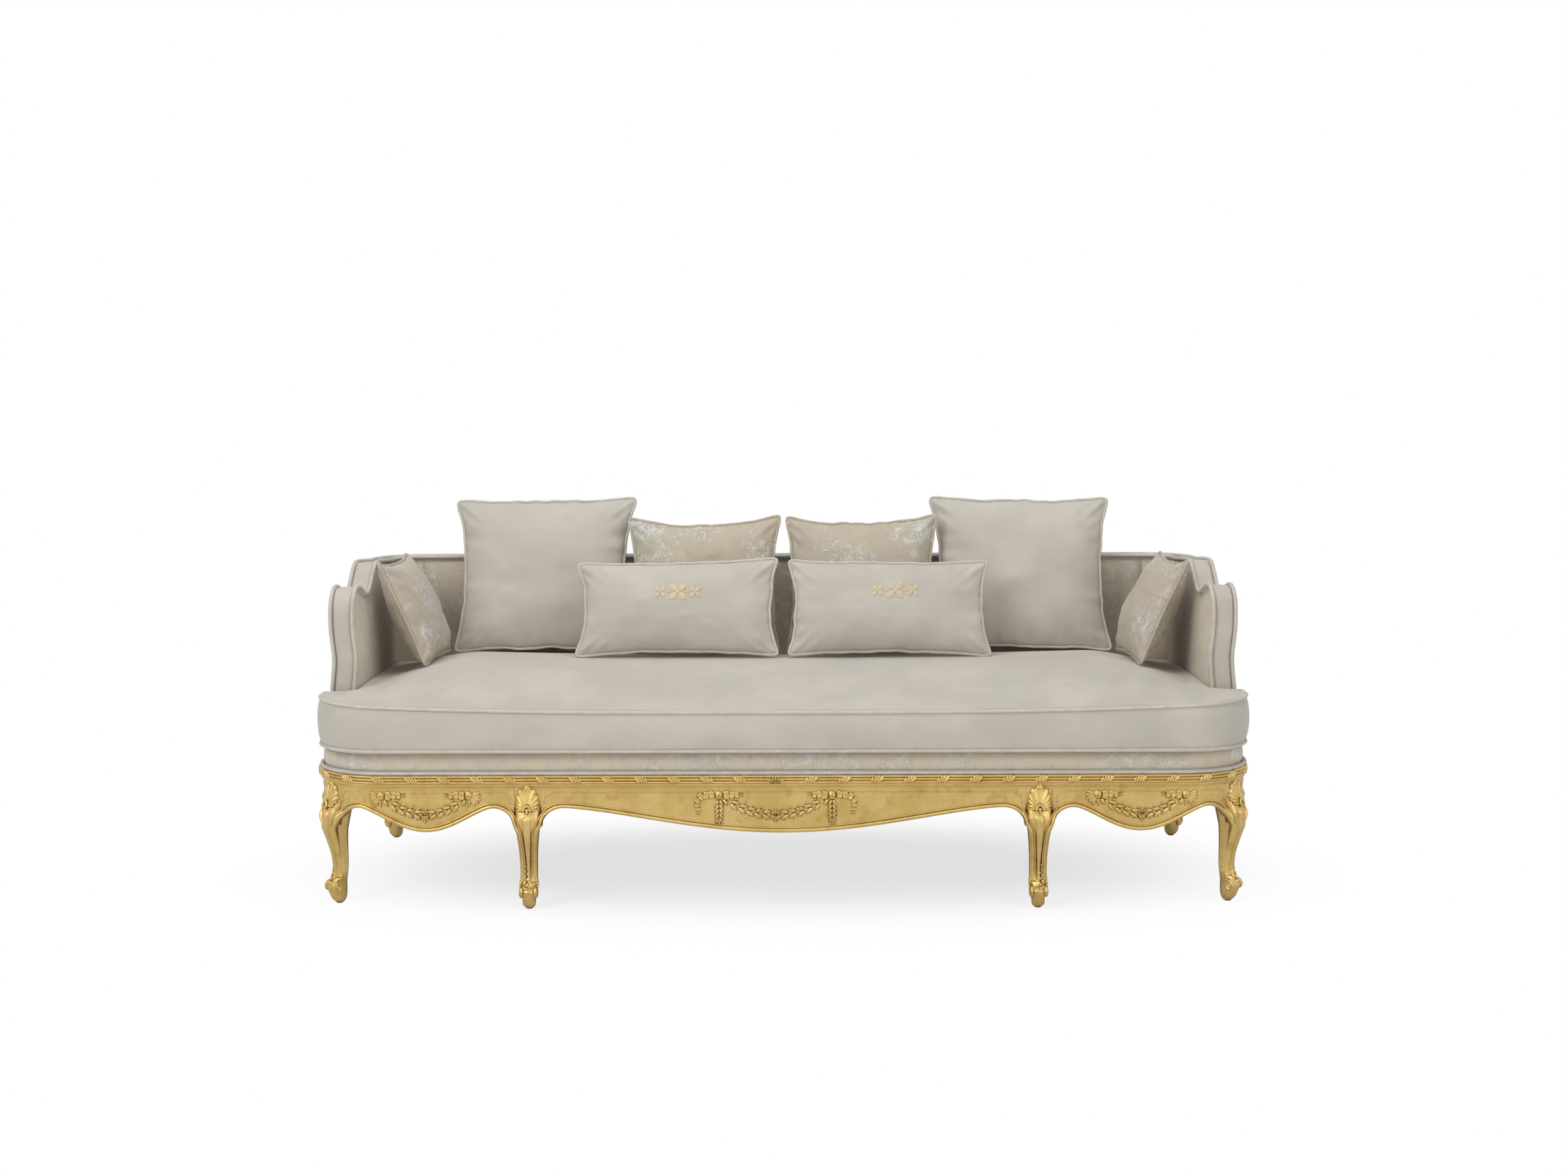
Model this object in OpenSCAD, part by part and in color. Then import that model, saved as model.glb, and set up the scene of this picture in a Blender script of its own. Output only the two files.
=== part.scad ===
/* [Seat frame] */
// Width over the faces of the side rails
rail_w = 2330; // [2300:10:2500]
// Depth from the face of the front rail to the face of the rear rail
rail_d = 900; // [880:10:960]
// Height of the rail tops above the floor
rail_top = 335; // [325:5:350]
// Thickness of the rails
rail_t = 30; // [28:1:32]
// Plan radius of the front corners
front_r = 190; // [180:5:200]
// Plan radius of the rear corners
rear_r = 150; // [145:5:160]
// Height of the apron's arches above the floor
arch_z = 254; // [248:1:260]
// Lowest point of the middle apron
middle_low = 191.5; // [180:0.5:205]
// Lowest point of the side bays
bay_low = 194.5; // [180:0.5:205]
// Lowest point of the plain rear rail
rear_low = 226; // [215:1:240]
// Height at which the apron's edge runs into a leg
ear_z = 204; // [198:1:210]
// Width of the quarter sweep that brings the edge down to a leg
ear_w = 54; // [48:1:60]

/* [Legs] */
// Width of the square post at the head of each leg
post_w = 66; // [62:1:70]
// Depth of the post behind the rail face
post_d = 62; // [58:1:66]
// Distance of the two inner front legs from the middle, as a share of the width
inner_share = 0.2695; // [0.266:0.0005:0.275]
// Radius of the scroll on each side of the foot
scroll_r = 14; // [12:0.5:16]
// Width over the two scrolls
scroll_w = 56; // [52:1:60]
// Turn of the front corner legs away from straight ahead
front_turn = 50; // [46:1:54]
// Turn of the rear legs away from straight ahead
rear_turn = 135; // [131:1:139]

/* [Carving] */
// Height of the reeded moulding and the ogee below it
moulding_h = 36; // [32:1:40]
// How far the reeds stand in front of the rail face
moulding_proud = 10; // [8:0.5:12]
// Number of reeds
reeds = 3; // [2:1:4]
// Radius of the shell on each knee
shell_r = 30; // [26:1:31]
// Half the distance between the rosettes of the middle garland
swag_half = 139; // [130:1:145]
// Half the distance between the rosettes of a side garland
bay_swag_half = 108; // [100:1:110]
// Drop of a garland from its rosettes to its middle
swag_drop = 48; // [40:1:52]
// Height of the rosettes' centres
rosette_z = 284; // [278:1:286]
// Sideways place of the middle garland's centre
swag_shift = -19; // [-30:1:30]
// Distance of the side garlands' centres from the middle, as a share of the width
bay_swag_share = 0.3777; // [0.373:0.0005:0.382]
// Length of a laurel leaf
leaf_l = 26; // [22:1:30]
// Relief of the garlands
relief = 6; // [4:0.5:8]

/* [Back and arms] */
// Distance of the upholstered shell behind the rail faces
shell_inset = 27; // [25:0.5:27.5]
// Thickness of the back and the arms
shell_t = 48; // [46:1:56]
// Depth of the arm fronts behind the face of the front rail
arm_y = 198; // [194:1:206]
// Height of the arm fronts
arm_top = 775; // [770:1:790]
// Height of the dip behind the arm fronts
dip_z = 745; // [735:1:755]
// Height of the wing where the arm steps up
wing_z = 817; // [810:1:830]
// Height of the back at its middle
back_top = 805; // [795:1:815]
// Radius of the welt cords
welt_r = 5; // [4:0.25:6]

/* [Seat] */
// Height of the upholstered deck above the rails
deck_h = 56; // [50:1:60]
// Overhang of the seat cushion in front of the rail
nose = 32; // [28:1:40]
// Half the width of the seat cushion over its ears
seat_half_w = 1163; // [1155:1:1163]
// Plan radius of the seat cushion's front corners
seat_r = 170; // [150:5:190]
// Height of the cushion's border between the welts
seat_border = 96; // [85:1:98]
// Crown of the seat cushion above its top welt
seat_crown = 74; // [55:1:78]

/* [Pillows] */
// Width of the two large pillows
large_w = 508; // [480:1:512]
// Height of the two large pillows
large_h = 448; // [435:1:452]
// Thickness of a large pillow
large_t = 142; // [125:1:144]
// Width of the two medium pillows
medium_w = 428; // [400:1:430]
// Height of the two medium pillows
medium_h = 398; // [380:1:400]
// Thickness of a medium pillow
medium_t = 126; // [110:1:128]
// Width of the two lumbar pillows
lumbar_w = 556; // [520:1:558]
// Height of the two lumbar pillows
lumbar_h = 276; // [262:1:280]
// Thickness of a lumbar pillow
lumbar_t = 112; // [95:1:114]
// Width of the two small pillows against the arms
small_w = 360; // [330:1:362]
// Height of the two small pillows
small_h = 312; // [290:1:314]
// Thickness of a small pillow
small_t = 124; // [110:1:126]
// Lean of the pillows against the back
lean = 16; // [14:1:18]

/* [Hidden] */
$fn = 64;
gilt = [0.86, 0.68, 0.30];
beech = [0.80, 0.66, 0.46];
velvet = [0.78, 0.76, 0.71];
toile = [0.76, 0.70, 0.60];
cord = [0.82, 0.80, 0.76];
jute = [0.66, 0.53, 0.34];
cambric = [0.12, 0.12, 0.13];

// Corner centres, the middle of the depth, one overrun for cuts and one gap between loose soft parts
front_c = [rail_w / 2 - front_r, front_r];
rear_c = [rail_w / 2 - rear_r, rail_d - rear_r];
mid_y = (rail_d + moulding_proud - nose) / 2;
over = 80;
seam = 0.4;
inner_x = inner_share * rail_w;

// Direction of a point on a corner, by its turn away from straight ahead
function ahead(a) = [sin(a), -cos(a)];
function flat(lists) = [for (l = lists) for (p = l) p];
function reversed(points) = [for (i = [len(points) - 1:-1:0]) points[i]];
function mirrored(points) = [for (p = reversed(points)) [-p[0], p[1]]];

// Everything is drawn from the front rail's face and then centred on its depth
module placed() {
    translate([0, -mid_y, 0]) children();
}

module both_sides() {
    children();
    mirror([1, 0, 0]) children();
}

// A section drawn as distance in front of the rail face and height, run along a straight face
module straight(start, turn, run) {
    translate([start[0], start[1], 0])
        rotate([0, 0, turn])
            rotate([90, 0, 90])
                linear_extrude(run) mirror([1, 0, 0]) children();
}

// The same section turned round a corner of radius r
module corner(centre, r, from, to) {
    translate([centre[0], centre[1], 0])
        rotate([0, 0, from - 90])
            rotate_extrude(angle = to - from) translate([r, 0]) children();
}

module bay_run() {
    straight([0, 0], 0, front_c[0]) children();
    corner(front_c, front_r, 0, front_turn) children();
}

module side_run() {
    corner(front_c, front_r, 90, front_turn) children();
    straight([rail_w / 2, front_c[1]], 90, rear_c[1] - front_c[1]) children();
    corner(rear_c, rear_r, 90, rear_turn) children();
}

module rear_run() {
    straight([rear_c[0], rail_d], 180, 2 * rear_c[0]) children();
    both_sides() corner(rear_c, rear_r, rear_turn, 180) children();
}

// A closed solid through rings of points, each ring anticlockwise as seen from its last ring's side,
// with the two ends drawn to a hub point each
module stack(rings, low, high) {
    n = len(rings[0]);
    last = len(rings) - 1;
    hub = n * (last + 1);
    polyhedron(points = concat(flat(rings), [low, high]), faces = concat(
        [for (i = [0:n - 1]) [hub, i, (i + 1) % n]],
        [for (j = [0:last - 1]) for (i = [0:n - 1]) let (a = j * n + i, d = j * n + (i + 1) % n)
            i < n / 2 ? [a, a + n, d + n] : [a, a + n, d]],
        [for (j = [0:last - 1]) for (i = [0:n - 1]) let (a = j * n + i, d = j * n + (i + 1) % n)
            i < n / 2 ? [a, d + n, d] : [a + n, d + n, d]],
        [for (i = [0:n - 1]) [hub + 1, last * n + (i + 1) % n, last * n + i]]));
}

// Rails: an L section with a rebate for the webbing, cut to the apron's curve, and a bead along its edge
web_t = 3;
rebate_w = 18;
bead_w = 7;
bead_proud = 3;
belly_power = 1.4;

module rail_section() {
    polygon([[0, 0], [0, rail_top], [rebate_w - rail_t, rail_top], [rebate_w - rail_t, rail_top - 2 * web_t],
        [-rail_t, rail_top - 2 * web_t], [-rail_t, 0]]);
}

module bead_section() {
    translate([-rail_t / 2, 0]) square([rail_t / 2 + bead_proud, rail_top]);
}

// Height of the apron's edge at a distance s from the leg, for half a bay
function edge_z(s, half, low) =
    s < ear_w
        ? ear_z + (arch_z - ear_z) * sqrt(1 - pow(1 - s / ear_w, 2))
        : arch_z - (arch_z - low) * pow(sin(90 * (s - ear_w) / (half - ear_w)), belly_power);

function stations(half) = concat([for (k = [0:5]) ear_w * (1 - cos(90 * k / 6))],
    [for (k = [0:11]) ear_w + (half - ear_w) * k / 12]);

function apron_edge(from, to, low, rise) = let (half = (to - from) / 2, s = stations(half))
    concat([for (v = s) [from + v, edge_z(v, half, low) + rise]], [[from + half, low + rise]],
        [for (v = reversed(s)) [to - v, edge_z(v, half, low) + rise]]);

// The apron's outline, which runs on past an end where a corner post cuts the rail
function run_on(from, to, low, rise, before, after) = concat(
    before ? [[from - over, ear_z + rise]] : [], apron_edge(from, to, low, rise), after ? [[to + over, ear_z + rise]] : []);
function rail_mask(from, to, low, before, after) = concat(run_on(from, to, low, 0, before, after),
    [[to + (after ? over : 0), rail_top + over], [from - (before ? over : 0), rail_top + over]]);
function bead_mask(from, to, low, before, after) = concat(run_on(from, to, low, 0, before, after),
    reversed(run_on(from, to, low, bead_w, before, after)));

module seen_from_front(points, near, far) {
    translate([0, far, 0]) rotate([90, 0, 0]) linear_extrude(far - near) polygon(points);
}

module seen_from_side(points, from, to) {
    translate([from, 0, 0]) rotate([90, 0, 90]) linear_extrude(to - from) polygon(points);
}

// Where the rails meet the sides of the corner posts, less a short flat beside each post
post_flat = 2;
front_post_a = asin(post_w / 2 / front_r);
rear_post_a = asin(post_w / 2 / rear_r);
bay_end = front_c[0] + front_r * sin(front_turn - front_post_a) - post_flat;
side_from = front_c[1] - front_r * cos(front_turn + front_post_a) + post_flat;
side_to = rear_c[1] - rear_r * cos(rear_turn - rear_post_a) - post_flat;
rear_end = rear_c[0] + rear_r * sin(rear_turn + rear_post_a) - post_flat;
middle_end = inner_x - post_w / 2;
bay_from = inner_x + post_w / 2;

module at_turn(centre, r, turn) {
    translate([centre[0] + r * sin(turn), centre[1] - r * cos(turn), 0]) rotate([0, 0, turn]) children();
}

module at_front_corner() {
    at_turn(front_c, front_r, front_turn) children();
}

module at_rear_corner() {
    at_turn(rear_c, rear_r, rear_turn) children();
}

module post_cut() {
    translate([-post_w / 2, -over, 0]) cube([post_w, post_d + over, rail_top + over]);
}

module rail_middle() {
    color(gilt) placed() {
        intersection() {
            straight([-middle_end, 0], 0, 2 * middle_end) rail_section();
            seen_from_front(rail_mask(-middle_end, middle_end, middle_low, false, false), -over, over);
        }
        intersection() {
            straight([-middle_end, 0], 0, 2 * middle_end) bead_section();
            seen_from_front(bead_mask(-middle_end, middle_end, middle_low, false, false), -over, over);
        }
    }
}

module rail_bay() {
    color(gilt) placed() difference() {
        union() {
            intersection() {
                bay_run() rail_section();
                seen_from_front(rail_mask(bay_from, bay_end, bay_low, false, true), -over, over);
            }
            intersection() {
                bay_run() bead_section();
                seen_from_front(bead_mask(bay_from, bay_end, bay_low, false, true), -over, over);
            }
        }
        at_front_corner() post_cut();
    }
}

module rail_side() {
    color(gilt) placed() difference() {
        union() {
            intersection() {
                side_run() rail_section();
                seen_from_side(rail_mask(side_from, side_to, bay_low, true, true), rear_c[0], rail_w);
            }
            intersection() {
                side_run() bead_section();
                seen_from_side(bead_mask(side_from, side_to, bay_low, true, true), rear_c[0], rail_w);
            }
        }
        at_front_corner() post_cut();
        at_rear_corner() post_cut();
    }
}

module rail_rear() {
    color(gilt) placed() difference() {
        intersection() {
            rear_run() rail_section();
            seen_from_front(rail_mask(-rear_end, rear_end, rear_low, true, true), rear_c[1] + post_w, rail_d + over);
        }
        both_sides() at_rear_corner() post_cut();
    }
}

// Legs: height as a share of the height below the moulding; way out of the rail face, half depth and
// half width as shares of the post's width; and the squareness of the section
leg_shares = [
    [0.000, -0.21, 0.200, 0.210, 3.0],
    [0.018, -0.21, 0.235, 0.240, 3.0],
    [0.047, -0.20, 0.270, 0.265, 2.6],
    [0.100, -0.165, 0.333, 0.310, 2.2],
    [0.150, -0.12, 0.380, 0.320, 2.2],
    [0.194, -0.18, 0.333, 0.310, 2.2],
    [0.241, -0.29, 0.290, 0.295, 2.2],
    [0.318, -0.35, 0.295, 0.300, 2.3],
    [0.418, -0.30, 0.340, 0.333, 2.4],
    [0.518, -0.20, 0.410, 0.394, 2.6],
    [0.635, -0.09, 0.485, 0.455, 2.8],
    [0.752, -0.136, 0.515, 0.490, 3.0],
    [0.853, -0.26, 0.500, 0.500, 3.5],
    [0.936, -0.38, 0.477, 0.500, 4.0],
    [0.993, -0.47, 0.455, 0.500, 5.0]];
leg_sides = 20;
leg_h = rail_top - moulding_h;
scroll_share = [0.045, 0.15];
spiral_rise = 2;
spiral_turns = 1.6;
spiral_steps = 24;

function leg_col(c) = [for (row = leg_shares) [row[0] * leg_h, row[c] * post_w]];
function rounded(v, n) = sign(v) * pow(abs(v), 2 / n);
function leg_ring(row) = [for (k = [0:leg_sides - 1]) let (a = 360 * k / leg_sides)
    [row[3] * post_w * rounded(cos(a), row[4]), (row[2] * rounded(sin(a), row[4]) - row[1]) * post_w, row[0] * leg_h]];

function leg_hub(row) = [0, -row[1] * post_w, row[0] * leg_h];

// Carved spiral on the face of a scroll
function spiral_r(s) = scroll_r * (0.9 - 0.72 * s);
function spiral_point(s, inner) = let (a = 360 * spiral_turns * s + 200, r = spiral_r(s) - inner)
    [r * cos(a), r * sin(a)];
function spiral_band(w) = concat([for (k = [0:spiral_steps]) spiral_point(k / spiral_steps, 0)],
    [for (k = [spiral_steps:-1:0]) spiral_point(k / spiral_steps, w)]);

module scroll() {
    core_w = scroll_w - 2 * spiral_rise;
    rotate([90, 0, 90]) {
        translate([0, 0, -core_w / 2]) cylinder(r = scroll_r, h = core_w);
        for (s = [0, 1]) mirror([0, 0, s]) translate([0, 0, core_w / 2 - spiral_rise])
            linear_extrude(2 * spiral_rise) polygon(spiral_band(scroll_r / 6));
    }
}

// Fan-shaped shell of lobes that radiate from a point low on the knee
lobes = 9;
lobe_spread = 300;
shell_z = leg_h - 1.05 * shell_r;
shell_base_z = shell_z - 0.7 * shell_r;
shell_sink = shell_r / 5;
shell_relief = shell_r / 4.5;
fan_shares = [0.1, 0.62, 1];
fan_swell = [0.5, 1, 0.35];

function knee(x, z) = lookup(z, leg_col(1))
    + lookup(z, leg_col(2)) * pow(1 - pow(min(0.94, abs(x) / lookup(z, leg_col(3))), 3), 1 / 3);
function lobe_ridge(a) = abs(cos(180 * lobes * a / lobe_spread));
function fan_point(a, t) = let (r = shell_r * (0.91 + 0.09 * lobe_ridge(a)))
    [t * r * sin(a), shell_base_z + t * (shell_z - shell_base_z + r * cos(a))];
function fan_row(t, swell, front) = [for (k = [-lobes:lobes])
    let (a = k * lobe_spread / 2 / lobes, p = fan_point(a, t), e = knee(p[0], p[1]))
        [p[0], -e + (front ? -shell_relief * swell * (0.35 + 0.65 * lobe_ridge(a)) : shell_sink), p[1]]];

module shell() {
    n = 2 * lobes + 1;
    m = len(fan_shares);
    rows = concat([for (j = [0:m - 1]) fan_row(fan_shares[j], fan_swell[j], true)],
        [for (j = [m - 1:-1:0]) fan_row(fan_shares[j], 0, false)]);
    polyhedron(points = flat(rows), faces = concat(
        [for (j = [0:2 * m - 1]) for (i = [0:n - 2]) let (k = (j + 1) % (2 * m))
            [j * n + i, k * n + i, k * n + i + 1]],
        [for (j = [0:2 * m - 1]) for (i = [0:n - 2]) let (k = (j + 1) % (2 * m))
            [j * n + i, k * n + i + 1, j * n + i + 1]],
        [[for (j = [2 * m - 1:-1:0]) j * n]],
        [[for (j = [0:2 * m - 1]) j * n + n - 1]]));
}

module leg(r) {
    intersection() {
        translate([-post_w / 2, 0, arch_z]) cube([post_w, post_d, rail_top - arch_z]);
        if (r > 0) translate([0, r, 0]) cylinder(r = r, h = rail_top + over);
    }
    stack([for (row = leg_shares) leg_ring(row)], leg_hub(leg_shares[0]), leg_hub(leg_shares[len(leg_shares) - 1]));
    shell();
    translate([0, -scroll_share[0] * post_w, scroll_share[1] * leg_h]) scroll();
}

module leg_front() {
    color(gilt) placed() at_front_corner() leg(front_r);
}

module leg_inner() {
    color(gilt) placed() translate([inner_x, 0, 0]) leg(0);
}

module leg_rear() {
    color(gilt) placed() at_rear_corner() leg(rear_r);
}

// Reeds over an ogee, as distance in front of the rail face and height
reed_share = 0.6;
reed_steps = 5;
function moulding_points() =
    let (h = reed_share * moulding_h / reeds, z = rail_top - moulding_h, o = moulding_h - reeds * h)
    concat([[0, z], [0.1 * moulding_proud, z]],
        [for (k = [1:4]) [moulding_proud * (0.1 + 0.6 * (1 - cos(45 * k)) / 2), z + 0.25 * k * o]],
        [for (i = [0:reeds - 1]) for (k = [0:reed_steps])
            [moulding_proud * (0.7 + 0.3 * sin(180 * k / reed_steps)), z + o + h * (i + (k + 0.02) / (reed_steps + 0.04))]],
        [[0, rail_top]]);

module moulding_section() {
    polygon(moulding_points());
}

module moulding_front() {
    color(gilt) placed() {
        straight([-front_c[0], 0], 0, 2 * front_c[0]) moulding_section();
        both_sides() corner(front_c, front_r, 0, front_turn) moulding_section();
    }
}

module moulding_side() {
    color(gilt) placed() side_run() moulding_section();
}

module moulding_rear() {
    color(gilt) placed() rear_run() moulding_section();
}

// Garlands: a laurel swag between two rosettes, with ribbon tails and a drop of leaves below each rosette
leaf_w_share = 0.34;
leaf_turn = 27;
leaf_pairs = 7;
drop_pairs = 4;
stem_w = 5;
rosette_r = 9;
tail_w = 11;
tail_out_shares = [[0.00, 0.02], [0.14, 0.05], [0.27, 0.03], [0.37, -0.06], [0.42, -0.18], [0.40, -0.30]];
tail_in_shares = [[0.00, 0.02], [0.14, 0.05], [0.28, 0.05], [0.42, 0.03]];

function leaf_points() = concat([for (k = [0:6]) [leaf_l * k / 6, leaf_w_share / 2 * leaf_l * sin(30 * k)]],
    [for (k = [5:-1:1]) [leaf_l * k / 6, -leaf_w_share / 2 * leaf_l * sin(30 * k)]]);
function swag_z(x, half) = -swag_drop * (1 - pow(x / half, 2));
function swag_turn(x, half) = atan(2 * swag_drop * x / pow(half, 2));
function band_points(line, w) = let (n = len(line) - 1, side = [for (i = [0:n])
        let (d = line[min(n, i + 1)] - line[max(0, i - 1)]) [-d[1], d[0]] / norm(d) * w / 2])
    concat([for (i = [0:n]) line[i] + side[i]], [for (i = [n:-1:0]) line[i] - side[i]]);

module leaf_pair(turn, rise) {
    linear_extrude(rise) for (s = [-1, 1]) rotate(turn + s * leaf_turn) polygon(leaf_points());
}

module ribbon(shares) {
    linear_extrude(0.6 * relief) polygon(band_points(swag_half * shares, tail_w));
}

module rosette() {
    cylinder(r = rosette_r, h = 0.8 * relief);
    for (a = [0:60:300]) rotate(a) translate([0.7 * rosette_r, 0, 0]) cylinder(r = 0.38 * rosette_r, h = relief);
    cylinder(r = 0.35 * rosette_r, h = 1.3 * relief);
}

module half_swag(half) {
    for (k = [0:leaf_pairs - 1]) {
        x = half * (0.96 - 0.88 * k / (leaf_pairs - 1));
        translate([x, swag_z(x, half), 0])
            leaf_pair(180 + swag_turn(x, half), (k % 2 == 0 ? 1 : 0.8) * relief);
    }
    translate([half, 0, 0]) {
        rosette();
        mirror([1, 0, 0]) ribbon(tail_in_shares);
    }
}

module leaf_drop() {
    reach = (0.35 + 0.55 * (drop_pairs - 0.5)) * leaf_l;
    translate([-stem_w / 4, -reach, 0]) cube([stem_w / 2, reach, 0.6 * relief]);
    for (k = [0:drop_pairs - 1])
        translate([0, -0.35 * leaf_l - 0.55 * leaf_l * k, 0]) leaf_pair(-90, (k % 2 == 0 ? 1 : 0.8) * relief);
}

module berries(half) {
    linear_extrude(0.5 * relief)
        polygon(band_points([for (k = [-6:6]) [half * k / 6, swag_z(half * k / 6, half)]], stem_w));
    for (k = [0:4]) translate([0, -swag_drop + (k - 2) * stem_w, 0])
        cylinder(r = (3 - abs(k - 2)) * stem_w / 2.2, h = 1.2 * relief);
}

module on_rail(x) {
    color(gilt) placed() translate([x, 0, rosette_z]) rotate([90, 0, 0]) children();
}

// The middle garland has hanging drops of leaves and long outer tails; the side ones are plainer
module garland_long() {
    on_rail(swag_shift) {
        both_sides() {
            half_swag(swag_half);
            translate([swag_half, 0, 0]) {
                leaf_drop();
                ribbon(tail_out_shares);
            }
        }
        berries(swag_half);
    }
}

module garland_short() {
    on_rail(bay_swag_share * rail_w) {
        both_sides() {
            half_swag(bay_swag_half);
            translate([bay_swag_half, 0, 0]) ribbon(tail_in_shares);
        }
        berries(bay_swag_half);
    }
}

// Hidden frame parts: blocks in the corners, stretchers, webbing and the cloth below
block_d = 36;
stretcher_w = 28;
stretcher_h = 46;
stretcher_x = 400;
strip_w = 50;
long_strips = 5;
long_pitch = rail_d / 9;
cross_strips = 11;
cross_pitch = 0.85 * rail_w / cross_strips;
cambric_t = 1.5;
cloth_z = arch_z + web_t;
block_z = cloth_z + cambric_t;
lap_z = leg_h;

module blocks() {
    color(beech) placed() both_sides() {
        at_front_corner() block(front_r);
        at_rear_corner() block(rear_r);
    }
}

module block(r) {
    intersection() {
        translate([-r, post_d, block_z]) cube([2 * r, block_d, lap_z - block_z]);
        translate([0, r, 0]) cylinder(r = r - rail_t, h = rail_top);
    }
}

module stretchers() {
    color(beech) placed() both_sides()
        translate([stretcher_x, rail_t, leg_h - stretcher_h / 2]) cube([stretcher_w, rail_d - 2 * rail_t, stretcher_h]);
}

module strips_long() {
    reach = rail_w / 2 - rail_t + rebate_w;
    color(jute) placed() for (k = [0:long_strips - 1])
        translate([-reach, rear_c[1] - 2 * stretcher_w - strip_w / 2 - k * long_pitch, rail_top - 2 * web_t])
            cube([2 * reach, strip_w, web_t]);
}

module strips_cross() {
    color(jute) placed() for (k = [0:cross_strips - 1])
        translate([(k - (cross_strips - 1) / 2) * cross_pitch - strip_w / 2, rail_t - rebate_w, rail_top - web_t])
            cube([strip_w, rail_d - 2 * (rail_t - rebate_w), web_t]);
}

// Plan outline at a depth behind the rail faces
function half_plan(depth) = concat([for (a = [0:10:90]) front_c + (front_r - depth) * ahead(a)],
    [for (a = [90:10:180]) rear_c + (rear_r - depth) * ahead(a)]);
function plan(depth) = concat(half_plan(depth), mirrored(half_plan(depth)));

module under_cloth() {
    color(cambric) placed() difference() {
        translate([0, 0, cloth_z]) linear_extrude(cambric_t) polygon(plan(rail_t));
        both_sides() {
            at_front_corner() post_cut();
            at_rear_corner() post_cut();
            translate([inner_x, 0, 0]) post_cut();
        }
    }
}

// The crest line of the arms and back in side view, from the arm front to the rear
arm_round = 42;
dip_run = 175;
wing_run = 310;
dip_y = arm_y + dip_run;
wing_y = arm_y + wing_run;
band_t = 8;
frame_out = rail_t;
frame_in = rail_t + 24;
shell_in = shell_inset + shell_t;

function blend(from, to, n) = [for (k = [0:n - 1])
    [from[0] + (to[0] - from[0]) * k / n, from[1] + (to[1] - from[1]) * (1 - cos(180 * k / n)) / 2]];
function crest() = concat(
    [for (k = [0:6]) [arm_y + arm_round * (1 - cos(15 * k)), arm_top - arm_round * (1 - sin(15 * k))]],
    blend([arm_y + 1.3 * arm_round, arm_top], [dip_y, dip_z], 7),
    blend([dip_y, dip_z], [wing_y, wing_z], 9),
    blend([wing_y, wing_z], [rear_c[1], back_top], 4),
    [[rear_c[1], back_top], [rail_d, back_top]]);
function below_crest(d) = concat([[arm_y + d, 0]], [for (p = crest()) [max(arm_y, p[0]) + d, p[1] - d]],
    [[rail_d + over, back_top - d], [rail_d + over, 0]]);

module under_crest(d) {
    seen_from_side(below_crest(d), -rail_w, rail_w);
}

// A wall of the shell between two depths behind the rail face
module wall_section(outer, inner, low, high) {
    translate([-inner, low]) square([inner - outer, high - low]);
}

module arm_run() {
    straight([rail_w / 2, front_c[1]], 90, rear_c[1] - front_c[1]) children();
}

module turn_run() {
    corner(rear_c, rear_r, 90, 180) children();
}

module back_run() {
    straight([rear_c[0], rail_d], 180, 2 * rear_c[0]) children();
}

pad_low = rail_top + deck_h;
crown_room = max(wing_z, back_top) + over;
stand_share = 0.74;
welt_stand = (1 + stand_share) * welt_r;
pad_top = dip_z - 2 * arm_round;
pad_mid = 0.4 * pad_low + 0.6 * pad_top;

// The inside pads swell towards the seat below the crest
module pad_section() {
    polygon(concat([[-frame_in, pad_low], [-frame_in, crown_room], [-shell_in, crown_room]],
        [for (k = [0:4]) [-shell_in - welt_stand * (1 - cos(45 * k)) / 2, pad_top + (pad_mid - pad_top) * k / 4]],
        [[-shell_in - welt_stand, pad_low]]));
}

// A T-shaped outline: wide in front, with ears before the arms, and narrower between the arms
edge_shares = [0.25, 0.5, 0.75];
function right_tee(w, front, r, step, inner, rear, rr, ear) = concat(
    [for (v = edge_shares) [v * (w - r), front]],
    [for (a = [0:10:90]) [w - r, front + r] + r * ahead(a)],
    [[w, step - ear], [w - 0.3 * ear, step - 0.3 * ear], [w - ear, step], [inner + seam, step],
        [inner, step + seam]], [for (v = edge_shares) [inner, step + v * (rear - rr - step)]],
    [for (a = [90:30:180]) [inner - rr, rear - rr] + rr * ahead(a)],
    [for (v = reversed(concat(edge_shares, [0.81, 0.88]))) [v * inner, rear]]);
function tee(w, front, r, step, inner, rear, rr, ear) =
    let (half = right_tee(w, front, r, step, inner, rear, rr, ear))
    concat([[0, front]], half, [[0, rear]], mirrored(half));
function at_height(points, z) = [for (p = points) [p[0], p[1], z]];

// Deck: springs and padding under a covered border that bulges out over the rails
deck_inset = 7;
hub_y = 0.5 * arm_y;
deck_bulge = 5;
deck_shares = [[0, -0.4], [0.12, 0.4], [0.45, 1], [0.8, 0.6], [1, -1.2]];
function deck_ring(row) = let (grow = row[1] * deck_bulge) at_height(tee(
    rail_w / 2 - deck_inset + grow, deck_inset - grow, front_r - deck_inset + grow,
    arm_y - seam, rail_w / 2 - frame_in, rail_d - frame_in, rear_r - frame_in, deck_inset), rail_top + row[0] * deck_h);

module deck() {
    color(toile) placed() stack([for (row = deck_shares) deck_ring(row)],
        [0, hub_y, rail_top], [0, hub_y, rail_top + deck_h]);
}

module deck_cord() {
    color(cord) placed() both_sides() {
        straight([0, 0], 0, front_c[0]) welt_section();
        corner(front_c, front_r, 0, 90) welt_section();
    }
}

module welt_section() {
    translate([-deck_inset + deck_bulge + welt_r, rail_top + welt_r]) circle(r = welt_r);
}

// Frame of the arms and back: posts lapped inside the rails, shaped top rails and tacking rails
arm_post_d = 45;
top_rail_h = 52;
tack_z = 412;
tack_h = 40;
upright_w = 44;

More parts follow.
